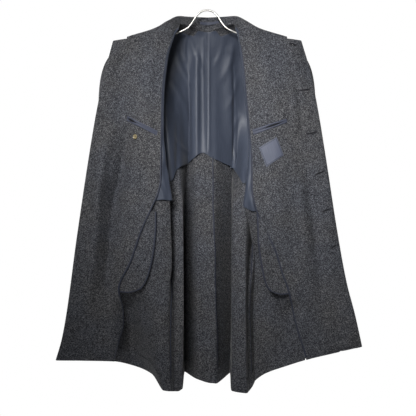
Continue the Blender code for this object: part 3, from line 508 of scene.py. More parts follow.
# Facings: inner edge rows (down, across); lift rows (down, lift) move the edge towards the viewer.
facing = {
    "columns": 84, "rows": 250,
    "right": ((60, 101), (152, 128), (276, 140), (431, 142), (524, 143), (560, 150), (601, 167), (679, 202),
              (778, 236), (865, 272), (927, 262), (970, 261), (1013, 272), (1051, 282), (1100, 292)),
    "left": ((60, 98), (152, 112), (307, 127), (462, 139), (555, 140), (607, 150), (679, 183), (747, 214),
             (809, 232), (862, 251), (927, 267), (989, 282), (1042, 298), (1100, 314)),
    "liftRight": ((60, 0), (350, 0.5), (400, 4), (470, 5), (520, 4), (600, 6.5), (860, 7), (910, 26), (960, 38), (1030, 30),
                  (1070, 10), (1100, 3)),
    "liftLeft": ((60, 0), (430, 0.5), (540, 3), (610, 7.5), (850, 9), (900, 16), (960, 20), (1020, 13), (1060, 5), (1100, 2)),
    "reachRight": 46.0, "reachLeft": 34.0,
}


# Place round the coat at which the facing begins, for each share of the length: first crossing of the edge's line.
def facingStart(side, v):
    edge = np.array(facing[side], float)
    fine = np.linspace(coat["places"]["frontRim"], 1, 500)
    view = clothView(side, np.broadcast_to(fine[:, None], (500, len(v))), v[None])
    down = view[..., 1].ravel()
    target = cubicThrough(edge[:, 0], edge[:, None, 1:], down.clip(edge[0, 0], edge[-1, 0]))[:, 0].reshape(view.shape[:2])
    over = view[..., 0] - target
    past = np.maximum((over >= 0).argmax(0), 12)
    one = np.arange(len(v))
    low, high = over[past - 1, one], over[past, one]
    share = np.where(high > low, -low / np.where(high > low, high - low, 1), 1).clip(0, 1)
    return fine[past - 1] + share * (fine[1] - fine[0])


def facingLift(side):
    key = side.capitalize()
    rows, edge = np.array(facing["lift" + key], float), np.array(facing[side], float)

    def lift(view):
        away = view[..., 0] - np.interp(view[..., 1], edge[:, 0], edge[:, 1])
        height = np.interp(view[..., 1], rows[:, 0], rows[:, 1])
        return height * np.exp(-(away.clip(0, None) / facing["reach" + key]) ** 1.5)
    return lift


# Rows of the left wing's grid are bent round the top buttonhole, which is open: a lens between two rows.
topHole = {"from": (254.0, 103.0), "to": (276.0, 108.5), "gape": 5.2}


def holedRows(side, u, v):
    spots = np.array([topHole["from"], topHole["to"]])
    hu, hv = locate(side, spots[:, 0], spots[:, 1], 0.7)
    row = int(np.searchsorted(v[0], hv.mean())) - 1
    share = (u[:, row] - hu[0]) / (hu[1] - hu[0])
    inside = np.flatnonzero((share > 0) & (share < 1))
    first, last = inside[0] - 1, inside[-1] + 1
    length = clothView(side, np.array([1.0]), np.array([1.0]))[0, 1] - 92
    middle = hv[0] + (hv[1] - hv[0]) * share.clip(-0.4, 1.4)
    gap = (0.3 + topHole["gape"] * np.sin(pi * share.clip(0, 1)) ** 0.7) / length
    near = smooth(1.6 - np.abs(share - 0.5) * 1.6)[:, None]
    bent = v.copy()
    for k in range(-6, 8):  # rows above and below give way
        fade = np.exp(-(max(abs(k - 0.5) - 0.5, 0) / 2.4) ** 2)
        want = middle + (k - 0.5) * (v[0, 1] - v[0, 0]) + (gap / 2 - (v[0, 1] - v[0, 0]) / 2) * np.sign(k - 0.5)
        bent[:, row + k] += (want - v[:, row + k]) * fade * near[:, 0]
    return bent, (row, first, last)


fronts = {"columns": 96, "rows": 230}
backs = {"columns": 84, "rows": 230}
wings, fronted = {}, {}
for side, sign in coat["signs"].items():
    key = side.capitalize()
    # fronts, from the side seam round to the front edge
    v = np.linspace(0, 1, fronts["rows"])
    start = coat["sideSeamPlace"] + armholeHalf(v) + 0.0012
    t = np.linspace(0, 1, fronts["columns"])[:, None]
    u = start + t * (1 - start)
    v = np.broadcast_to(v, u.shape)
    holes = ()
    if side == "left":
        v, hole = holedRows(side, u, v)
        holes = (hole,)
        frontHole = hole
    grid = clothGrid(side, u, v, creases["wing" + key])
    fronted[side] = grid
    addCloth("front" + key, grid["points"], grid["normals"], -half, half, finish["wool"], ["front_" + side], holes=holes)

    # facings, sewn to the fronts along the outer edge, top and hem, free along the inner edge
    v = np.linspace(0.001, 1, facing["rows"])
    start = facingStart(side, v)
    t = np.linspace(0, 1, facing["columns"])[:, None]
    u = start + t * (1 - start)
    v = np.broadcast_to(v, u.shape)
    holes = ()
    if side == "left":
        v, hole = holedRows(side, u, v)
        holes = (hole,)
        facingHole = hole
    grid = clothGrid(side, u, v, creases["wing" + key], facingLift(side))
    run = clothUv(grid["points"])
    fromEdge = run[-1:, :, 0] - run[..., 0]
    fromHem = run[:, -1:, 1] - run[..., 1]
    tuck = 1 - 0.5 * np.exp(-(fromEdge / 0.004) ** 2) - 0.3 * np.exp(-(fromHem / 0.004) ** 2)
    offset = (2 * half + coat["layer"]) * tuck
    grid["points"] = layered(grid, offset)
    grid["normals"] = gridNormals(grid["points"], -sign)
    wings[side] = grid
    addCloth("facing" + key, grid["points"], grid["normals"], -half, half, finish["wool"], ["facing_" + side], holes=holes)

    # back halves
    v = np.linspace(0, 1, backs["rows"])
    t = np.linspace(0, 1, backs["columns"])[:, None]
    u = 0.0006 + t * (coat["sideSeamPlace"] - 0.0018 - armholeHalf(v))
    grid = clothGrid(side, u, np.broadcast_to(v, u.shape), creases["back" + key])
    addCloth("back" + key, grid["points"], grid["normals"], -half, half, finish["wool"], ["back_" + side])


# A grid's values at places between its points: straight lines both ways.
def readGrid(values, i, j):
    i0 = np.clip(np.floor(i).astype(int), 0, values.shape[0] - 2)
    j0 = np.clip(np.floor(j).astype(int), 0, values.shape[1] - 2)
    a, b = (i - i0)[..., None], (j - j0)[..., None]
    return (values[i0, j0] * (1 - a) * (1 - b) + values[i0 + 1, j0] * a * (1 - b)
            + values[i0, j0 + 1] * (1 - a) * b + values[i0 + 1, j0 + 1] * a * b)


# Spot of the front view found on a panel's own net: nearest point, then steps along its two slopes.
# Gives its place, its normal and its spot in the view.
def spotOn(grid, across, down, first=0):
    flat = grid["view"][..., :2]
    target = np.stack(np.broadcast_arrays(np.asarray(across, float), np.asarray(down, float)), -1)
    net = flat[first::4, ::4]
    gap = ((net[None] - target.reshape(-1, 1, 1, 2)) ** 2).sum(-1).reshape(target[..., 0].size, -1)
    i, j = np.unravel_index(gap.argmin(1), net.shape[:2])
    i = (first + 4.0 * i).reshape(target.shape[:-1])
    j = (4.0 * j).reshape(target.shape[:-1])
    for turn in range(30):
        here = readGrid(flat, i, j)
        di = (readGrid(flat, i + 0.1, j) - here) / 0.1
        dj = (readGrid(flat, i, j + 0.1) - here) / 0.1
        miss, area = target - here, di[..., 0] * dj[..., 1] - di[..., 1] * dj[..., 0]
        area = np.where(np.abs(area) < 1e-6, 1e-6, area)
        i = np.clip(i + 0.7 * (miss[..., 0] * dj[..., 1] - miss[..., 1] * dj[..., 0]) / area, 0, flat.shape[0] - 1.001)
        j = np.clip(j + 0.7 * (di[..., 0] * miss[..., 1] - di[..., 1] * miss[..., 0]) / area, 0, flat.shape[1] - 1.001)
    return readGrid(grid["points"], i, j), unit(readGrid(grid["normals"], i, j)), readGrid(grid["view"], i, j)


# Four corners of the front view, going round, filled by straight lines both ways.
def between(corners, along, over):
    a, b, c, d = np.array(corners, float)
    s, t = np.meshgrid(np.linspace(0, 1, along), np.linspace(0, 1, over), indexing="ij")
    s, t = s[..., None], t[..., None]
    return a * (1 - s) * (1 - t) + b * s * (1 - t) + c * s * t + d * (1 - s) * t


# Oval tape round an edge: follows the edge's points a little way in from the edge.
def tapeRound(edge, inner, normals, wide, thick, inset):
    inward = unit(inner - edge)
    normals = unit(normals - inward * (normals * inward).sum(-1, keepdims=True))
    wave = 1 + 0.10 * np.sin(np.arange(len(edge)) * 0.9) * np.sin(np.arange(len(edge)) * 0.37)
    return ovalTube(edge + inward * inset, inward, normals, wide * wave, thick * (2 - wave))


# Pocket bags hang inside below the facing's slanting edge: rows (down, across, depth) of the free edge,
# then the lower edge, which bows down on its way to the facing.
bags = {
    "columns": 46, "rows": 96, "clear": 7.0, "underFacing": 10.0, "bowDown": 9.0, "puff": 5.0,
    "right": ((622, 158, -84), (665, 158, -86), (710, 161, -88), (750, 166, -90), (787, 173, -88), (825, 184, -85),
              (846, 194, -82), (860, 204, -80)),
    "left": ((628, 155, -78), (670, 157, -76), (715, 159, -72), (770, 166, -64), (820, 175, -58), (850, 184, -54), (866, 195, -52)),
    "creasesRight": ((176, 640, 186, 830, 4, 10, 2.4), (196, 680, 214, 850, 5, 14, -2.2),
                     (170, 630, 190, 660, 0, 8, 1.5), (228, 780, 240, 860, 2, 9, 1.8)),
    "creasesLeft": ((172, 650, 180, 830, -4, 10, 2.2), (190, 700, 206, 860, 4, 13, -2.0),
                    (164, 640, 182, 668, 0, 8, 1.4), (214, 800, 226, 868, 2, 9, 1.6)),
}
binding = {"wide": 3.1, "thick": 1.75, "inset": 1.4}
pouches = {}
for side, sign in coat["signs"].items():
    key = side.capitalize()
    rows, edge = np.array(bags[side], float), np.array(facing[side], float)
    t = np.linspace(0, 1, bags["rows"])
    s = np.linspace(0, 1, bags["columns"])[:, None]
    down = rows[0, 0] + t * (rows[-1, 0] - rows[0, 0])
    free = cubicThrough(rows[:, 0], rows[:, None, 1:], down)
    far = np.interp(down, edge[:, 0], edge[:, 1]) + bags["underFacing"]
    across = free[:, 0] + s * (far - free[:, 0])
    lower = down + bags["bowDown"] * 4 * s * (1 - s) * t ** 7 + 7 * s * t ** 4
    cloth = spotOn(fronted[side], across, lower, 16)[2][..., 2]
    hang = free[:, 1] + s * (cloth[-1] - 2.5 - free[:, 1]) - bags["puff"] * np.sin(pi * s) * np.sin(pi * t.clip(0.02, 1) ** 0.8)
    least = cloth - bags["clear"] + s * (bags["clear"] - 2.5)
    depth = -2.0 * np.logaddexp(-hang / 2.0, -least / 2.0)
    view = np.stack([across, lower, depth], -1)
    view[..., 2] -= creaseHeight(view, bags["creases" + key])
    points = inSpace(side, view)
    grid = {"view": view, "points": points, "normals": gridNormals(points, -sign)}
    pouches[side] = grid
    addCloth("pocketBag" + key, points, grid["normals"], -half, half, finish["wool"], ["pocket_bag_" + side])
    edgeLine = np.concatenate([points[0], points[1:-6, -1]])
    nextLine = np.concatenate([points[2], points[1:-6, -3]])
    edgeLean = np.concatenate([grid["normals"][0], grid["normals"][1:-6, -1]])
    corner = slice(len(points[0]) - 6, len(points[0]) + 6)
    towards = unit(nextLine - edgeLine)
    towards[corner] = unit(np.linspace(0, 1, 12)[:, None] * towards[corner.stop]
                           + np.linspace(1, 0, 12)[:, None] * towards[corner.start])
    verts, faces, uv = tapeRound(edgeLine, edgeLine + towards, edgeLean, binding["wide"], binding["thick"], binding["inset"])
    addPiece("pocketBinding" + key, verts, faces, uv, finish["tape"], ["pocket_binding_" + side], "navy_tape")

    # tape along the facing's free edge
    points, normals = wings[side]["points"], wings[side]["normals"]
    run = slice(14, -2)
    verts, faces, uv = tapeRound(points[0, run], points[2, run], normals[0, run], binding["wide"], binding["thick"],
                                 binding["inset"])
    addPiece("facingBinding" + key, verts, faces, uv, finish["tape"], ["facing_binding_" + side], "navy_tape")


# Place round the coat that lies a given way from a line along it: lengths summed across, then read backwards.
def placeAtDistance(side, v, fromPlace, way, distance):
    fine = np.linspace(0, 1, 120)[:, None] * way + fromPlace
    points = inSpace(side, clothView(side, np.broadcast_to(fine, (120, len(v))), np.broadcast_to(v, (120, len(v)))))
    run = np.concatenate([np.zeros((1, len(v))), np.linalg.norm(np.diff(points, axis=0), axis=-1).cumsum(0)])
    past = (run <= distance).sum(0).clip(1, 119)
    one = np.arange(len(v))
    share = (distance - run[past - 1, one]) / (run[past, one] - run[past - 1, one])
    return fine[past - 1, 0] + share * (fine[1, 0] - fine[0, 0])


# Turned-up hems and seam allowances: strips of the panels' own cloth on the inner face.
turnUp = {"height": 41.0, "offset": 2.25, "rows": 16, "columns": 90}
allowance = {"offset": 2.1, "rows": 170, "columns": 10, "thick": 0.85, "tape": (2.5, 1.5, 1.0)}  # tape is wide, thick, inset
for side, sign in coat["signs"].items():
    key = side.capitalize()
    low = np.linspace(0, 1, turnUp["rows"])
    for panel, first, last in (("Back", 0.0009, coat["sideSeamPlace"] - 0.002),
                               ("Front", coat["sideSeamPlace"] + 0.002, facingStart(side, np.array([0.99]))[0] - 0.004)):
        u = first + np.linspace(0, 1, turnUp["columns"])[:, None] * (last - first)
        ends = clothView(side, np.repeat(u, 2, 1), np.array([[0.0, 1.0]]))[..., 1]
        share = turnUp["height"] / (ends[:, 1:] - ends[:, :1])
        share = share * (1 + 0.03 * np.sin(u * 41) + 0.02 * np.sin(u * 97))
        v = 1 - share * (1 - low[None]) - 0.0004
        grid = clothGrid(side, np.broadcast_to(u, v.shape), v, creases[("back" if panel == "Back" else "wing") + key])
        pucker = 0.25 * np.sin(np.arange(turnUp["columns"]) * 1.9)[:, None] * (1 - low)[None] ** 3
        addCloth("hem" + panel + key, layered(grid, turnUp["offset"] - 0.5 * low[None] ** 4 + pucker), grid["normals"], -0.9,
                 0.9, finish["wool"])
    if side == "left":
        seams = (("centreAllowance", 0.001, 0.12, 0.36, 0.962, 19.0),
                 ("sideAllowanceLeft", coat["sideSeamPlace"] + 0.003, 0.12, 0.50, 0.962, 18.0))
    else:
        seams = (("sideAllowanceRight", coat["sideSeamPlace"] + 0.003, 0.12, 0.50, 0.962, 22.0),)
    for name, fromPlace, way, top, bottom, width in seams:
        v = np.linspace(top, bottom, allowance["rows"])
        reach = placeAtDistance(side, v, fromPlace, way, width * (1 + 0.05 * np.sin(v * 23) + 0.03 * np.sin(v * 61)))
        u = fromPlace + np.linspace(0, 1, allowance["columns"])[:, None] * (reach - fromPlace)
        grid = clothGrid(side, u, np.broadcast_to(v, u.shape), creases[("back" if name[0] == "c" else "wing") + key])
        curl = 0.6 * (np.linspace(0, 1, allowance["columns"])[:, None] ** 3) * (1 + 0.6 * np.sin(v * 31))[None]
        points = layered(grid, allowance["offset"] + curl)
        normals = gridNormals(points, -sign)
        addCloth(name, points, normals, -allowance["thick"], allowance["thick"], finish["wool"])
        verts, faces, uv = tapeRound(points[-1], points[-3], normals[-1], *allowance["tape"])
        addPiece(name + "Binding", verts, faces, uv, finish["tape"], slot="navy_tape")

# Half lining: back halves with an arched lower edge, rows (place, down), and the sides down to the waist.
lining = {
    "columns": 84, "rows": 150, "sideColumns": 46, "offset": 2.1, "edgeLift": 2.6, "topShare": 0.004, "neckShare": 0.022,
    "seamRise": 1.6,
    "right": ((0.0, 445), (0.015, 440), (0.03, 444), (0.05, 455), (0.10, 474), (0.165, 487), (0.19, 500), (0.22, 528),
              (0.30, 522), (0.36, 500)),
    "left": ((0.0, 445), (0.03, 454), (0.05, 460), (0.10, 487), (0.165, 494), (0.19, 510), (0.22, 536), (0.30, 530), (0.36, 520)),
    "sideEndRight": (590, 596), "sideEndLeft": (603, 617),
}
for side, sign in coat["signs"].items():
    key = side.capitalize()
    edge = np.array(lining[side], float)
    t = np.linspace(0, 1, lining["columns"])[:, None]
    whole = t * coat["sideSeamPlace"]
    ends = clothView(side, np.repeat(whole, 2, 1), np.array([[0.0, 1.0]]))[..., 1]
    stop = cubicThrough(edge[:, 0], edge[:, None, 1:], whole[:, 0])
    stop = (stop - ends[:, :1]) / (ends[:, 1:] - ends[:, :1])
    s = np.linspace(0, 1, lining["rows"])[None]
    top = lining["topShare"] + lining["neckShare"] * smooth((whole - 0.03) / 0.03) * smooth((0.19 - whole) / 0.06)
    v = top + s * (stop - top)
    u = 0.0005 + t * (coat["sideSeamPlace"] - 0.004 - armholeHalf(v))
    grid = clothGrid(side, u, v, creases["back" + key])
    lift = creaseHeight(grid["view"], creases["lining" + key]).clip(-0.5, None)
    hang = lining["edgeLift"] * smooth((s - 0.8) / 0.2) * (0.75 + 0.45 * np.sin(9 + 60 * u) * np.sin(23 * u + 1.0))
    points = layered(grid, lining["offset"] + lift + hang)
    addCloth("backLining" + key, points, gridNormals(points, -sign), -coat["lining"] / 2, coat["lining"] / 2, finish["satin"],
             ["back_lining_" + side], "satin")

    # beside the facing
    v0 = 0.012
    t = np.linspace(0, 1, lining["sideColumns"])[:, None]
    s = np.linspace(0, 1, lining["rows"])[None]
    first, last = lining["sideEnd" + key]
    ends = clothView(side, np.repeat(coat["sideSeamPlace"] + t * 0.2, 2, 1), np.array([[0.0, 1.0]]))[..., 1]
    stop = ((first + t * (last - first)) - ends[:, :1]) / (ends[:, 1:] - ends[:, :1])
    v = v0 + s * (stop - v0)
    start = coat["sideSeamPlace"] + armholeHalf(v) + 0.004
    shares = np.linspace(0, 1, 300)
    begin = np.interp(v, shares, facingStart(side, shares.clip(0.001, 1)))
    u = start + t * (begin - 0.003 - start)
    grid = clothGrid(side, u, v, creases["wing" + key])
    lift = creaseHeight(grid["view"], creases["side" + key]).clip(-0.4, None)
    hang = 4.0 * smooth((s - 0.86) / 0.14) * (0.7 + 0.5 * np.sin(5 + 90 * u))
    rise = lining["seamRise"] * smooth((t - 0.7) / 0.3)  # up to the facing where they are sewn
    points = layered(grid, lining["offset"] + lift + hang + rise)
    addCloth("sideLining" + key, points, gridNormals(points, -sign), -coat["lining"] / 2, coat["lining"] / 2, finish["satin"],
             ["side_lining_" + side], "satin")

# Collar: rows (station, roll across, down, depth, lower edge of the fall across, down, depth)
collar = {
    "rows": ((0.0, 0, 18, 41, 0, 84, 68), (0.5, 48, 16, 31, 54, 84, 64), (1.0, 84, 14, 3, 126, 48, 16),
             (1.7, 118, 27, -38, 150, 66, -32), (2.8, 160, 50, -55, 178, 108, -46), (4.0, 247, 77, -60, 252, 124, -52)),
    "neckPlaces": ((1.0, 1.7, 2.8, 4.0), (0.52, 0.60, 0.72, 0.86)),
    "stations": 280, "rollGap": 5.5, "fallBow": 7.0, "roundness": 13.0, "neckGap": 0.6,
}


# The collar's section at each station: up the stand, over the roll and down the fall, rounded by a running mean.
def collarGrid():
    rows = np.array(collar["rows"], float)
    stations = np.linspace(-4, 4, collar["stations"] + 1)
    size = np.abs(stations)
    at = cubicThrough(rows[:, 0], rows[:, None, 1:], size)
    place = np.where(size <= 1, size * coat["places"]["backTrough"], np.interp(size, *collar["neckPlaces"]))
    base = np.empty((len(stations), 3))
    roll, end = base.copy(), base.copy()
    for side in coat["signs"]:
        pick = stations >= 0 if side == "left" else stations < 0
        base[pick] = inSpace(side, clothView(side, place[pick], np.zeros(pick.sum())))
        roll[pick], end[pick] = inSpace(side, at[pick, :3]), inSpace(side, at[pick, 3:])
    rise = unit(roll - base)
    base = base + rise * collar["neckGap"]
    stand, fall = np.linalg.norm(roll - base, axis=-1), np.linalg.norm(end - roll, axis=-1)
    fine = 400
    total = stand + fall
    run = np.linspace(0, 1, fine)[None] * total[:, None]
    t = (run / stand[:, None]).clip(0, 1)[..., None]
    w = ((run - stand[:, None]) / fall[:, None]).clip(0, 1)[..., None]
    line = np.where(run[..., None] < stand[:, None, None], base[:, None] + (roll - base)[:, None] * t,
                    roll[:, None] + (end - roll)[:, None] * w + np.array([0, collar["fallBow"], 0]) * 4 * w * (1 - w))
    sums = np.concatenate([np.zeros((len(stations), 1, 3)), line.cumsum(1)], 1)
    window = (collar["roundness"] / 2 / total[:, None] * fine)
    index = np.arange(fine)[None]
    reach = np.minimum(np.minimum(window, index), fine - 1 - index).astype(int)
    one = np.arange(len(stations))[:, None]
    line = (sums[one, index + reach + 1] - sums[one, index - reach]) / (2 * reach + 1)[..., None]
    return stations, line, stand / total


stations, line, split = collarGrid()
length = line.shape[1] - 1
one = np.arange(len(stations))[:, None]
cut = split - collar["rollGap"] / np.linalg.norm(np.diff(line, axis=1), axis=-1).sum(1)
wave = 0.8 * np.sin(stations * 3.1 + 0.6) * np.sin(stations * 1.3) + 0.5 * np.sin(stations * 7.3)


def collarPart(first, last, count):
    share = first[:, None] + np.linspace(0, 1, count)[None] * (last - first)[:, None]
    index = share * length
    low = np.floor(index).astype(int).clip(0, length - 1)
    part = line[one, low] + (line[one, low + 1] - line[one, low]) * (index - low)[..., None]
    part[..., 1] += wave[:, None] * np.sin(pi * share)  # slight unevenness along the neck
    normals = gridNormals(part, 1.0)
    return part, normals * np.sign((normals[:, :2] @ np.array([0.0, -1.0, 0.0])).mean())


standGrid, standLean = collarPart(np.zeros(len(stations)), cut - 0.002, 26)
addCloth("collarStand", standGrid, standLean, -coat["collar"] / 2, coat["collar"] / 2, finish["wool"], ["collar_stand"])
fallGrid, fallLean = collarPart(cut + 0.002, np.ones(len(stations)), 46)
fallLean = gridNormals(fallGrid, 1.0) * np.sign((gridNormals(fallGrid, 1.0)[:, 0] * standLean[:, -1]).sum(-1).mean())
addCloth("collarFall", fallGrid, fallLean, -coat["collar"] / 2, coat["collar"] / 2, finish["wool"], ["collar_fall"])

# Hanging loop on the stand
loop = {"stations": (-0.24, 0.40), "heights": (0.46, 0.68), "bow": 1.2, "thick": 0.5, "columns": 60}
s = np.linspace(*loop["stations"], loop["columns"])[:, None]
i = np.interp(s, stations, np.arange(len(stations))) + np.zeros((1, 8))
j = np.linspace(*loop["heights"], 8)[None] * (standGrid.shape[1] - 1) + np.zeros_like(s)
tilt = unit(readGrid(standLean, i, j))
bow = loop["bow"] * np.sin(np.linspace(0, pi, loop["columns"]))[:, None, None] ** 0.6
points = readGrid(standGrid, i, j) + tilt * (coat["collar"] / 2 + 0.8 + bow)
addCloth("hangingLoop", points, tilt, -loop["thick"], loop["thick"], finish["jet"], ["hanging_loop"], "navy_tape")

# Two-piece sleeves, rows (down, across, depth, half width, half depth) below the cap
sleeve = {
    "rows": ((350, 284, 2, 52, 50), (480, 281, -2, 52, 47), (600, 279, -8, 51, 44), (715, 278, -12, 50, 41)),
    "capOut": 0.40, "capUp": 0.45, "seam": 0.135, "around": (30, 66, 34), "capSteps": 40, "armSteps": 70,
    "creases": ((40, 500, 110, 520, 6, 9, 3), (60, 530, 150, 510, -5, 9, 3.4), (30, 470, 90, 455, 4, 8, -2.4),
                (150, 480, 240, 500, 5, 10, 3),
                (200, 520, 280, 505, -4, 9, -2.6), (90, 380, 120, 470, 5, 14, 3), (180, 560, 210, 690, 4, 14, 3),
                (60, 580, 70, 700, 3, 12, -2.6), (250, 360, 290, 460, 6, 12, 3), (120, 640, 150, 705, 3, 10, 2.4)),
}


# Rings round the armhole carried out over the cap on cubic curves, then down the arm's oval sections.
def sleeveGrid(side, sign):
    up, over, under = sleeve["around"]
    v1 = np.linspace(sleeve["seam"], 0.0004, up, endpoint=False)
    v2 = coat["underarm"] * (0.002 + 0.998 * (1 - np.cos(np.linspace(0, pi, over))) / 2)
    v3 = np.linspace(coat["underarm"], sleeve["seam"], under + 1)[1:]
    v = np.concatenate([v1, v2, v3])
    lean = np.concatenate([-np.ones(up), np.ones(over), -np.ones(under)])
    hole = inSpace(side, clothView(side, coat["sideSeamPlace"] + lean * armholeHalf(v), v))
    size = np.linalg.norm(np.diff(hole, axis=0), axis=1)
    run = np.concatenate([[0], size.cumsum()]) / size.sum()
    tip, low = run[up], run[up + over - 1]
    below = 1 - low + tip
    angle = pi * np.where(run <= tip, (run - tip) / below, np.where(run <= low, (run - tip) / (low - tip), 1 + (run - low) / below))
    out = np.array([sign, 0, 0])
    hole = hole + out * (0.9 + 1.2 * np.clip((np.arange(len(v)) - up) / (over - 1), 0, 1)[:, None] ** 3)
    rows = np.array(sleeve["rows"], float)
    down = np.linspace(rows[0, 0], rows[-1, 0], sleeve["armSteps"])
    at = cubicThrough(rows[:, 0], rows[:, None, 1:], down)
    view = np.stack([at[None, :, 0] + at[None, :, 2] * np.cos(angle)[:, None], np.broadcast_to(down, (len(angle), len(down))),
                     at[None, :, 1] - at[None, :, 3] * np.sin(angle)[:, None]], -1)
    arm = inSpace(side, view)
    reach = np.linalg.norm(arm[:, 0] - hole, axis=1, keepdims=True)
    p1, p2 = hole + out * sleeve["capOut"] * reach, arm[:, 0] + np.array([0, 0, 1]) * sleeve["capUp"] * reach
    t = np.linspace(0, 1, sleeve["capSteps"], endpoint=False)[None, :, None]
    cap = (hole[:, None] * (1 - t) ** 3 + 3 * p1[:, None] * t * (1 - t) ** 2
           + 3 * p2[:, None] * t * t * (1 - t) + arm[:, :1] * t ** 3)
    tube = np.concatenate([cap, arm], 1)
    flat = np.stack(np.broadcast_arrays(run[:, None] * 320, -tube[..., 2]), -1)
    inwards = gridNormals(tube, 1.0)
    inwards *= np.sign((inwards * (tube.mean(0)[None] - tube)).sum(-1).mean())
    inwards[0] = inwards[-1] = unit(inwards[0] + inwards[-1])
    bump = creaseHeight(flat, sleeve["creases"]) * smooth((-tube[..., 2] - 330) / 60) * np.sin(pi * run).clip(0)[:, None] ** 0.2
    tube = tube - inwards * bump.clip(-2.5, 2.5)[..., None]
    return tube, inwards, run


for side, sign in coat["signs"].items():
    key = side.capitalize()
    tube, inwards, run = sleeveGrid(side, sign)
    splitAt = sleeve["around"][0] + sleeve["around"][1] * 2 // 3
    for name, span in (("top", slice(0, splitAt + 1)), ("under", slice(splitAt, None))):
        points = tube[span].copy()
        points[0] += unit(points[1] - points[0]) * 0.4
        points[-1] += unit(points[-2] - points[-1]) * 0.4
        addCloth(name + "Sleeve" + key, points, inwards[span], -half, half, finish["wool"], [name + "_sleeve_" + side])

# Inner pockets: two navy lips, parted in places over a near-black sheet of painted shade where the mouth opens. Corners
# (across, down) go round the opening;
# parted is (share along, spread, gap in mm).
pockets = {
    "along": 70, "over": 12, "bulge": 1.5, "thick": 0.6,
    "right": ((243, 327), (154, 373), (157, 386), (246, 340)), "partedRight": (0.14, 0.13, 7.0),
    "left": ((143, 368), (244, 335), (247, 346), (146, 384)), "partedLeft": (0.60, 0.22, 6.0),
}
label = {"corners": ((163, 424), (215, 392), (236, 447), (185, 483)), "cells": 44, "thick": 0.4}
for side in coat["signs"]:
    key = side.capitalize()
    spot = between(pockets[side], pockets["along"], 3)
    at, spread, gap = pockets["parted" + key]
    s = np.linspace(0, 1, pockets["along"])[:, None]
    t = np.linspace(0, 1, pockets["over"])[None]
    tall = np.linalg.norm(spot[:, 2] - spot[:, 0], axis=-1)[:, None]
    parted = (0.5 + gap * np.exp(-((s - at) / spread) ** 2)) * smooth(s / 0.04) * smooth((1 - s) / 0.04)
    for name, first, last in (("Upper", 0.0, 0.5 - parted / 2 / tall), ("Lower", 0.5 + parted / 2 / tall, 1.0)):
        share = (first + t * (last - first))[..., None]
        where = spot[:, :1] + (spot[:, 2:] - spot[:, :1]) * share
        points, normals, view = spotOn(wings[side], where[..., 0], where[..., 1])
        crown = pockets["bulge"] * np.sin(pi * (0.08 + 0.84 * t)) ** 0.7 * (0.9 + 0.2 * np.sin(s * 17))
        addCloth("jet" + name + key, points + normals * (half + 0.5 + crown)[..., None], normals, -pockets["thick"],
                 pockets["thick"], finish["jet"], ["jet_" + name.lower() + "_" + side], "navy_tape")
    # a near-black sheet between the lips: painted shade for the pocket's dark inside
    share = (0.5 + (t - 0.5) * (parted + 3.0) / tall)[..., None]
    where = spot[:, :1] + (spot[:, 2:] - spot[:, :1]) * share
    points, normals, view = spotOn(wings[side], where[..., 0], where[..., 1])
    addCloth("pocketMouthShade" + key, points + normals * (half + 0.25), normals, -0.15, 0.15, finish["paintedShadeBlack"], slot="navy_tape")

# Plain woven label with a stitched border
spot = between(label["corners"], label["cells"], label["cells"])
points, normals, view = spotOn(wings["left"], spot[..., 0], spot[..., 1])
ripple = 0.5 + 0.35 * np.sin(np.linspace(0, 7, label["cells"]))[:, None] * np.sin(np.linspace(0, 5, label["cells"]))[None]
labelPoints = points + normals * (half + 0.6 + ripple)[..., None]
addCloth("labelPatch", labelPoints, normals, -label["thick"], label["thick"], finish["label"], ["label"], "navy_tape")
n = label["cells"] - 1
out, back = np.linspace(2, n - 2, 40), np.linspace(n - 2, 2, 40)
near, far = np.full(40, 2.0), np.full(40, n - 2.0)
border = np.concatenate([np.stack([out, near], 1), np.stack([far, out], 1)[1:],
                         np.stack([back, far], 1)[1:], np.stack([near, back], 1)[1:-1]])
seamLine, seamLean = readGrid(labelPoints, border[:, 0], border[:, 1]), unit(readGrid(normals, border[:, 0], border[:, 1]))
ahead = unit(np.roll(seamLine, -1, 0) - np.roll(seamLine, 1, 0))
verts, faces, uv = ovalTube(seamLine + seamLean * 0.45, unit(np.cross(ahead, seamLean)), seamLean, 0.45, 0.3, 8, closed=True)
addPiece("labelStitching", verts, faces, uv, finish["thread"], slot="navy_tape")

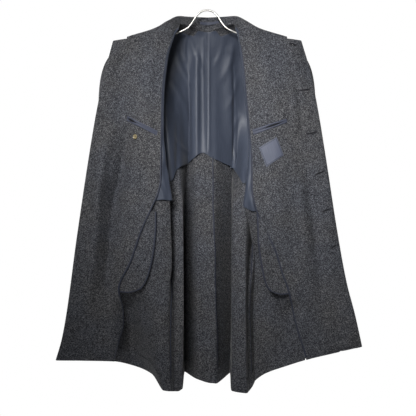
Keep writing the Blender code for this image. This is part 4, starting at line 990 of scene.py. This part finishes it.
# Buttonholes: a worked ring round a slit, each (across, down) at its two ends, inner end first
buttonholes = {
    "holes": ((283, 248.5, 316, 242.5), (308.5, 382.5, 340, 375), (335, 508, 363, 496), (356, 623, 378, 614),
              (384, 735, 398.5, 725)),
    "wide": 1.5, "thread": 0.95, "steps": 64,
}
parts = []
slitShades = []
for a0, d0, a1, d1 in buttonholes["holes"]:
    middle, reach = np.array([a0 + a1, d0 + d1]) / 2, np.array([a1 - a0, d1 - d0]) / 2
    across = np.array([reach[1], -reach[0]]) / np.hypot(*reach)
    turn = np.linspace(0, 2 * pi, buttonholes["steps"], endpoint=False)[:, None]
    along = reach * np.sign(np.cos(turn)) * np.abs(np.cos(turn)) ** 0.7
    ring = middle + along + across * buttonholes["wide"] * np.sin(turn) * (1 + 0.35 * np.cos(turn))
    for grid, face in ((wings["left"], 1.0), (fronted["left"], -1.0)):
        points, normals, view = spotOn(grid, ring[:, 0], ring[:, 1], 20)
        normals = normals * face
        ahead = unit(np.roll(points, -1, 0) - np.roll(points, 1, 0))
        bead = buttonholes["thread"] * (1 + 0.12 * np.sin(np.arange(len(points)) * 2.7))
        parts.append(ovalTube(points + normals * (half + 0.25), unit(np.cross(ahead, normals)), normals, bead, 0.7 * bead, 8,
                              closed=True))
        # a thin near-black sheet over each slit: painted shade where the cut opens
        s, t = np.linspace(-0.96, 0.96, 30)[:, None, None], np.linspace(-1, 1, 5)[None, :, None]
        where = middle + reach * s + across * t * buttonholes["wide"] * 0.7 * np.sqrt(1 - s ** 2)
        points, normals, view = spotOn(grid, where[..., 0], where[..., 1], 20)
        verts, faces, source = clothWall(points, normals * face, half + 0.05, half + 0.3)
        slitShades.append((verts, faces, clothUv(points).reshape(-1, 2)[source]))
addPiece("buttonholeThread", *joined(parts), finish["thread"])
addPiece("buttonholeSlits", *joined(slitShades), finish["paintedShadeBlack"])

# thread round the open top buttonhole, on both faces
parts = []
for grid, face, hole in ((wings["left"], 1.0, facingHole), (fronted["left"], -1.0, frontHole)):
    row, first, last = hole
    ringPoints = np.concatenate([grid["points"][first:last + 1, row], grid["points"][first:last + 1, row + 1][::-1]])
    ringLean = np.concatenate([grid["normals"][first:last + 1, row], grid["normals"][first:last + 1, row + 1][::-1]]) * face
    ahead = unit(np.roll(ringPoints, -1, 0) - np.roll(ringPoints, 1, 0))
    parts.append(ovalTube(ringPoints + ringLean * (half - 0.2), unit(np.cross(ahead, ringLean)), ringLean, 1.2, 0.9, 10,
                          closed=True))
addPiece("topButtonholeThread", *joined(parts), finish["thread"])

# small thread ring above the inner pocket
ringPlace = {"spot": (238.7, 322.4), "radius": 4.2, "thread": 0.9}
turn = np.linspace(0, 2 * pi, 40, endpoint=False)
ringAcross = ringPlace["spot"][0] + ringPlace["radius"] * np.cos(turn)
ringDown = ringPlace["spot"][1] + ringPlace["radius"] * np.sin(turn)
points, normals, view = spotOn(wings["left"], ringAcross, ringDown, 20)
ahead = unit(np.roll(points, -1, 0) - np.roll(points, 1, 0))
verts, faces, uv = ovalTube(points + normals * (half + 0.6), unit(np.cross(ahead, normals)), normals, ringPlace["thread"], 0.7,
                            8, closed=True)
addPiece("threadRing", verts, faces, uv, finish["thread"])

# Buttons: a turned section with a raised rim and four pits, on a thread shank
button = {
    "section": ((0.06, 0.0), (0.5, 0.0), (0.86, 0.04), (0.97, 0.2), (1.0, 0.42), (0.985, 0.7), (0.94, 0.9), (0.88, 0.98),
                (0.82, 0.98),
                (0.76, 0.9), (0.70, 0.78), (0.64, 0.70)), "faceRings": 16, "around": 56, "pitPlace": 0.24, "pitSize": 0.085,
                "pitDepth": 0.45,
    "outer": {"radius": 12.5, "thick": 4.0, "shank": 3.3}, "inner": {"radius": 7.0, "thick": 3.0, "shank": 3.3},
    "inset": 46.0, "rows": (128, 250, 382, 508, 624, 740), "innerSpot": (219, 391),
}


def buttonShape(centre, normal, radius, thick, shank, turned):
    section = np.array(button["section"])
    face = np.linspace(section[-1, 0], 0.03, button["faceRings"] + 1)[1:]
    section = np.concatenate([section, np.stack([face, 0.66 + 0.04 * (face / 0.64) ** 2], 1)])
    turn = np.linspace(0, 2 * pi, button["around"], endpoint=False)
    x, y = section[:, :1] * np.cos(turn), section[:, :1] * np.sin(turn)
    h = np.repeat(section[:, 1:], len(turn), 1)
    for k in range(4):
        px, py = button["pitPlace"] * np.cos(pi / 4 + k * pi / 2), button["pitPlace"] * np.sin(pi / 4 + k * pi / 2)
        near = np.exp(-(((x - px) ** 2 + (y - py) ** 2) / button["pitSize"] ** 2) ** 2)
        h = np.where(np.arange(len(section))[:, None] >= len(button["section"]), h - button["pitDepth"] * near, h)
    sideways = unit(np.cross(normal, np.array([np.cos(turned), 0.3, np.sin(turned)])))
    other = np.cross(normal, sideways)
    verts = centre + sideways * (x * radius)[..., None] + other * (y * radius)[..., None] + normal * (shank + h * thick)[..., None]
    ids = np.arange(x.size).reshape(x.shape)
    quads = np.stack([ids[:-1], np.roll(ids, -1, 1)[:-1], np.roll(ids, -1, 1)[1:], ids[1:]], -1).reshape(-1, 4)
    threads = []
    for k in range(2):  # two bars of thread across the face
        ends = np.array([pi / 4 + k * pi, 3 * pi / 4 + k * pi])
        a, b = (centre + (sideways * np.cos(e) + other * np.sin(e)) * button["pitPlace"] * radius for e in ends)
        t = np.linspace(0, 1, 9)[:, None]
        path = a + (b - a) * t + normal * (shank + thick * (0.45 + 0.33 * np.sin(pi * t) ** 0.4))
        way = unit(np.gradient(path, axis=0))
        lie = unit(np.cross(way, normal))
        threads.append(ovalTube(path, lie, np.cross(lie, way), radius * 0.07, radius * 0.06, 8))
    path = centre + normal * np.linspace(-0.4, shank + 0.3, 8)[:, None]
    waist = 2.4 - 0.5 * np.sin(np.linspace(0, pi, 8))
    threads.append(ovalTube(path, np.repeat(sideways[None], 8, 0), np.repeat(other[None], 8, 0), waist, waist, 12))
    uv = np.stack([x, y], -1).reshape(-1, 2) * radius * mm
    return (verts.reshape(-1, 3), [quads, np.stack([ids[0][::-1], ids[-1]])], uv), threads


threads = []
line = fronted["right"]["view"][-1]
for number, down in enumerate(button["rows"], 1):
    point, normal, view = spotOn(fronted["right"], [np.interp(down, line[:, 1], line[:, 0]) - button["inset"]], [down], 20)
    shape, more = buttonShape(point[0] - normal[0] * (half + 0.5), -normal[0], **button["outer"], turned=0.7 * number)
    addPiece("button%d" % number, *shape, finish["horn"], ["button_%d" % number], "horn")
    threads += more
# the inner button's pale colour is partly a painted highlight
point, normal, view = spotOn(wings["right"], [button["innerSpot"][0]], [button["innerSpot"][1]], 10)
shape, more = buttonShape(point[0] + normal[0] * half, normal[0], **button["inner"], turned=0.4)
addPiece("innerButton", *shape, finish["paleHornWithHighlight"], ["inner_button"], "horn")
addPiece("buttonThread", *joined(threads + more), finish["thread"], slot="horn")

# Outer pockets' welts, on the outer face: raised towards the mouth, corners (across, down)
welt = {"along": 80, "over": 16, "right": ((196, 628), (222, 616), (300, 800), (272, 812)),
        "left": ((210, 640), (238, 628), (312, 800), (282, 812))}
for side in coat["signs"]:
    spot = between(welt[side], welt["over"], welt["along"])
    points, normals, view = spotOn(fronted[side], spot[..., 0], spot[..., 1], 16)
    s = np.linspace(0, 1, welt["over"])[:, None]
    raised = 0.9 + 1.4 * np.sin(pi * (0.1 + 0.8 * s)) ** 0.6 + 0 * np.linspace(0, 1, welt["along"])[None]
    addCloth("pocketWelt" + side.capitalize(), points - normals * (half + raised)[..., None], -normals, -half, half,
             finish["wool"], ["pocket_welt_" + side])

# Wire hanger, rows (across, down) along one half
hanger = {
    "rows": ((0, -2.8), (8, -1.6), (16, 1.2), (26, 8), (36, 20), (47, 37), (60, 52), (81, 63), (99, 70), (150, 82.5),
             (180, 92.2), (206, 103.2)),
    "depth": 1.0, "radius": 2.75, "steps": 150,
}
rows = np.array(hanger["rows"], float)
run = np.concatenate([[0], np.linalg.norm(np.diff(rows, axis=0), axis=1).cumsum()])
arm = cubicThrough(run, rows[:, None, :], np.linspace(0, run[-1], hanger["steps"]))
arm = np.concatenate([arm[:0:-1] * (-1, 1), arm])
path = np.stack([arm[:, 0], np.full(len(arm), hanger["depth"]), -arm[:, 1]], -1)
ahead = unit(np.gradient(path, axis=0))
depthWay = np.broadcast_to(np.array([0.0, 1.0, 0.0]), path.shape)
verts, faces, uv = ovalTube(path, unit(np.cross(ahead, depthWay)), depthWay, hanger["radius"], hanger["radius"], 24)
addPiece("wireHanger", verts, faces, uv, finish["wire"], ["hanger"], "wire")
# Camera, light and surroundings
studio = {
    "lens": 67.0, "floorDown": -1.9, "floorRadius": 1.5, "floorGlow": 0.10,
    "lamps": {  # place, aim, size, power, spread
        "key": ((-0.40, -1.80, 0.28), (0.13, -0.05, -0.40), (0.7, 0.45), 5.6, 52.0),
        "rear": ((0.0, 2.6, 0.6), (0.0, 0.0, -0.55), (2.2, 1.6), 44.0, 180.0),
        "flankRight": ((-2.3, 1.2, 0.3), (-0.1, 0.05, -0.55), (1.2, 1.6), 12.0, 90.0),
        "flankLeft": ((2.3, 1.2, 0.3), (0.1, 0.05, -0.55), (1.2, 1.6), 12.0, 90.0),
    },
    "skyTop": 0.18, "skySide": 0.07, "skyLow": 0.03,
}
camera = bpy.data.objects.new("camera", bpy.data.cameras.new("camera"))
camera.data.lens = studio["lens"]
camera.data.sensor_width = 36.0
camera.location = (0.0031, -coat["eyeDistance"] * mm, -0.6107)
camera.rotation_euler = (pi / 2, 0, 0)
bpy.context.collection.objects.link(camera)
bpy.context.scene.camera = camera
bpy.context.scene.view_settings.view_transform = "Standard"


# A broad lamp turned from its place to what it lights.
def addLamp(name, place, aim, size, power, spread):
    data = bpy.data.lights.new(name, "AREA")
    data.shape, (data.size, data.size_y), data.energy = "RECTANGLE", size, power
    data.spread = np.radians(spread)
    lamp = bpy.data.objects.new(name, data)
    lamp.location = place
    way = np.array(aim) - np.array(place)
    lamp.rotation_euler = (np.arctan2(np.hypot(way[0], way[1]), -way[2]), 0, np.arctan2(way[1], way[0]) - pi / 2)
    bpy.context.collection.objects.link(lamp)


for name, lamp in studio["lamps"].items():
    addLamp(name, *lamp)

# pale floor well below the hem: a disc of rings
turn = np.linspace(0, 2 * pi, 96, endpoint=False)
ring = np.linspace(0.02, studio["floorRadius"], 12)[:, None]
disc = np.stack([ring * np.cos(turn), ring * np.sin(turn), np.full((12, 96), studio["floorDown"])], -1)
ids = np.arange(12 * 96).reshape(12, 96)
quads = np.stack([ids[:-1], ids[1:], np.roll(ids, -1, 1)[1:], np.roll(ids, -1, 1)[:-1]], -1).reshape(-1, 4)
floorMesh = bpy.data.meshes.new("floor")
floorMesh.from_pydata(disc.reshape(-1, 3).tolist(), [], quads.tolist() + [ids[0].tolist()])
paleFloor, tree, shader = newFinish("pale floor", (0.88, 0.88, 0.87), 0.8)
shader.inputs["Emission Color"].default_value = (1, 1, 1, 1)
shader.inputs["Emission Strength"].default_value = studio["floorGlow"]
floorMesh.materials.append(paleFloor)
floor = bpy.data.objects.new("floor", floorMesh)
bpy.context.collection.objects.link(floor)

world = bpy.data.worlds.new("studio")
world.use_nodes = True
bpy.context.scene.world = world
tree = world.node_tree
tree.nodes.clear()
direction = addNode(tree, "ShaderNodeTexCoord").outputs["Generated"]
height = addNode(tree, "ShaderNodeSeparateXYZ")
tree.links.new(direction, height.inputs[0])
upward = addNode(tree, "ShaderNodeMath", {1: 0.5, 2: 0.5}, operation="MULTIPLY_ADD")
tree.links.new(height.outputs["Z"], upward.inputs[0])
sky = ramp(tree, upward.outputs[0], ((0.1, (studio["skyLow"],) * 3), (0.5, (studio["skySide"],) * 3),
                                     (0.9, (studio["skyTop"],) * 3)))
dome = addNode(tree, "ShaderNodeBackground")
tree.links.new(sky, dome.inputs["Color"])
paper = addNode(tree, "ShaderNodeBackground", {"Color": (1, 1, 1, 1), "Strength": 1.0})
rays = addNode(tree, "ShaderNodeLightPath")
both = addNode(tree, "ShaderNodeMixShader")
tree.links.new(rays.outputs["Is Camera Ray"], both.inputs[0])
tree.links.new(dome.outputs[0], both.inputs[1])
tree.links.new(paper.outputs[0], both.inputs[2])
tree.links.new(both.outputs[0], addNode(tree, "ShaderNodeOutputWorld").inputs["Surface"])
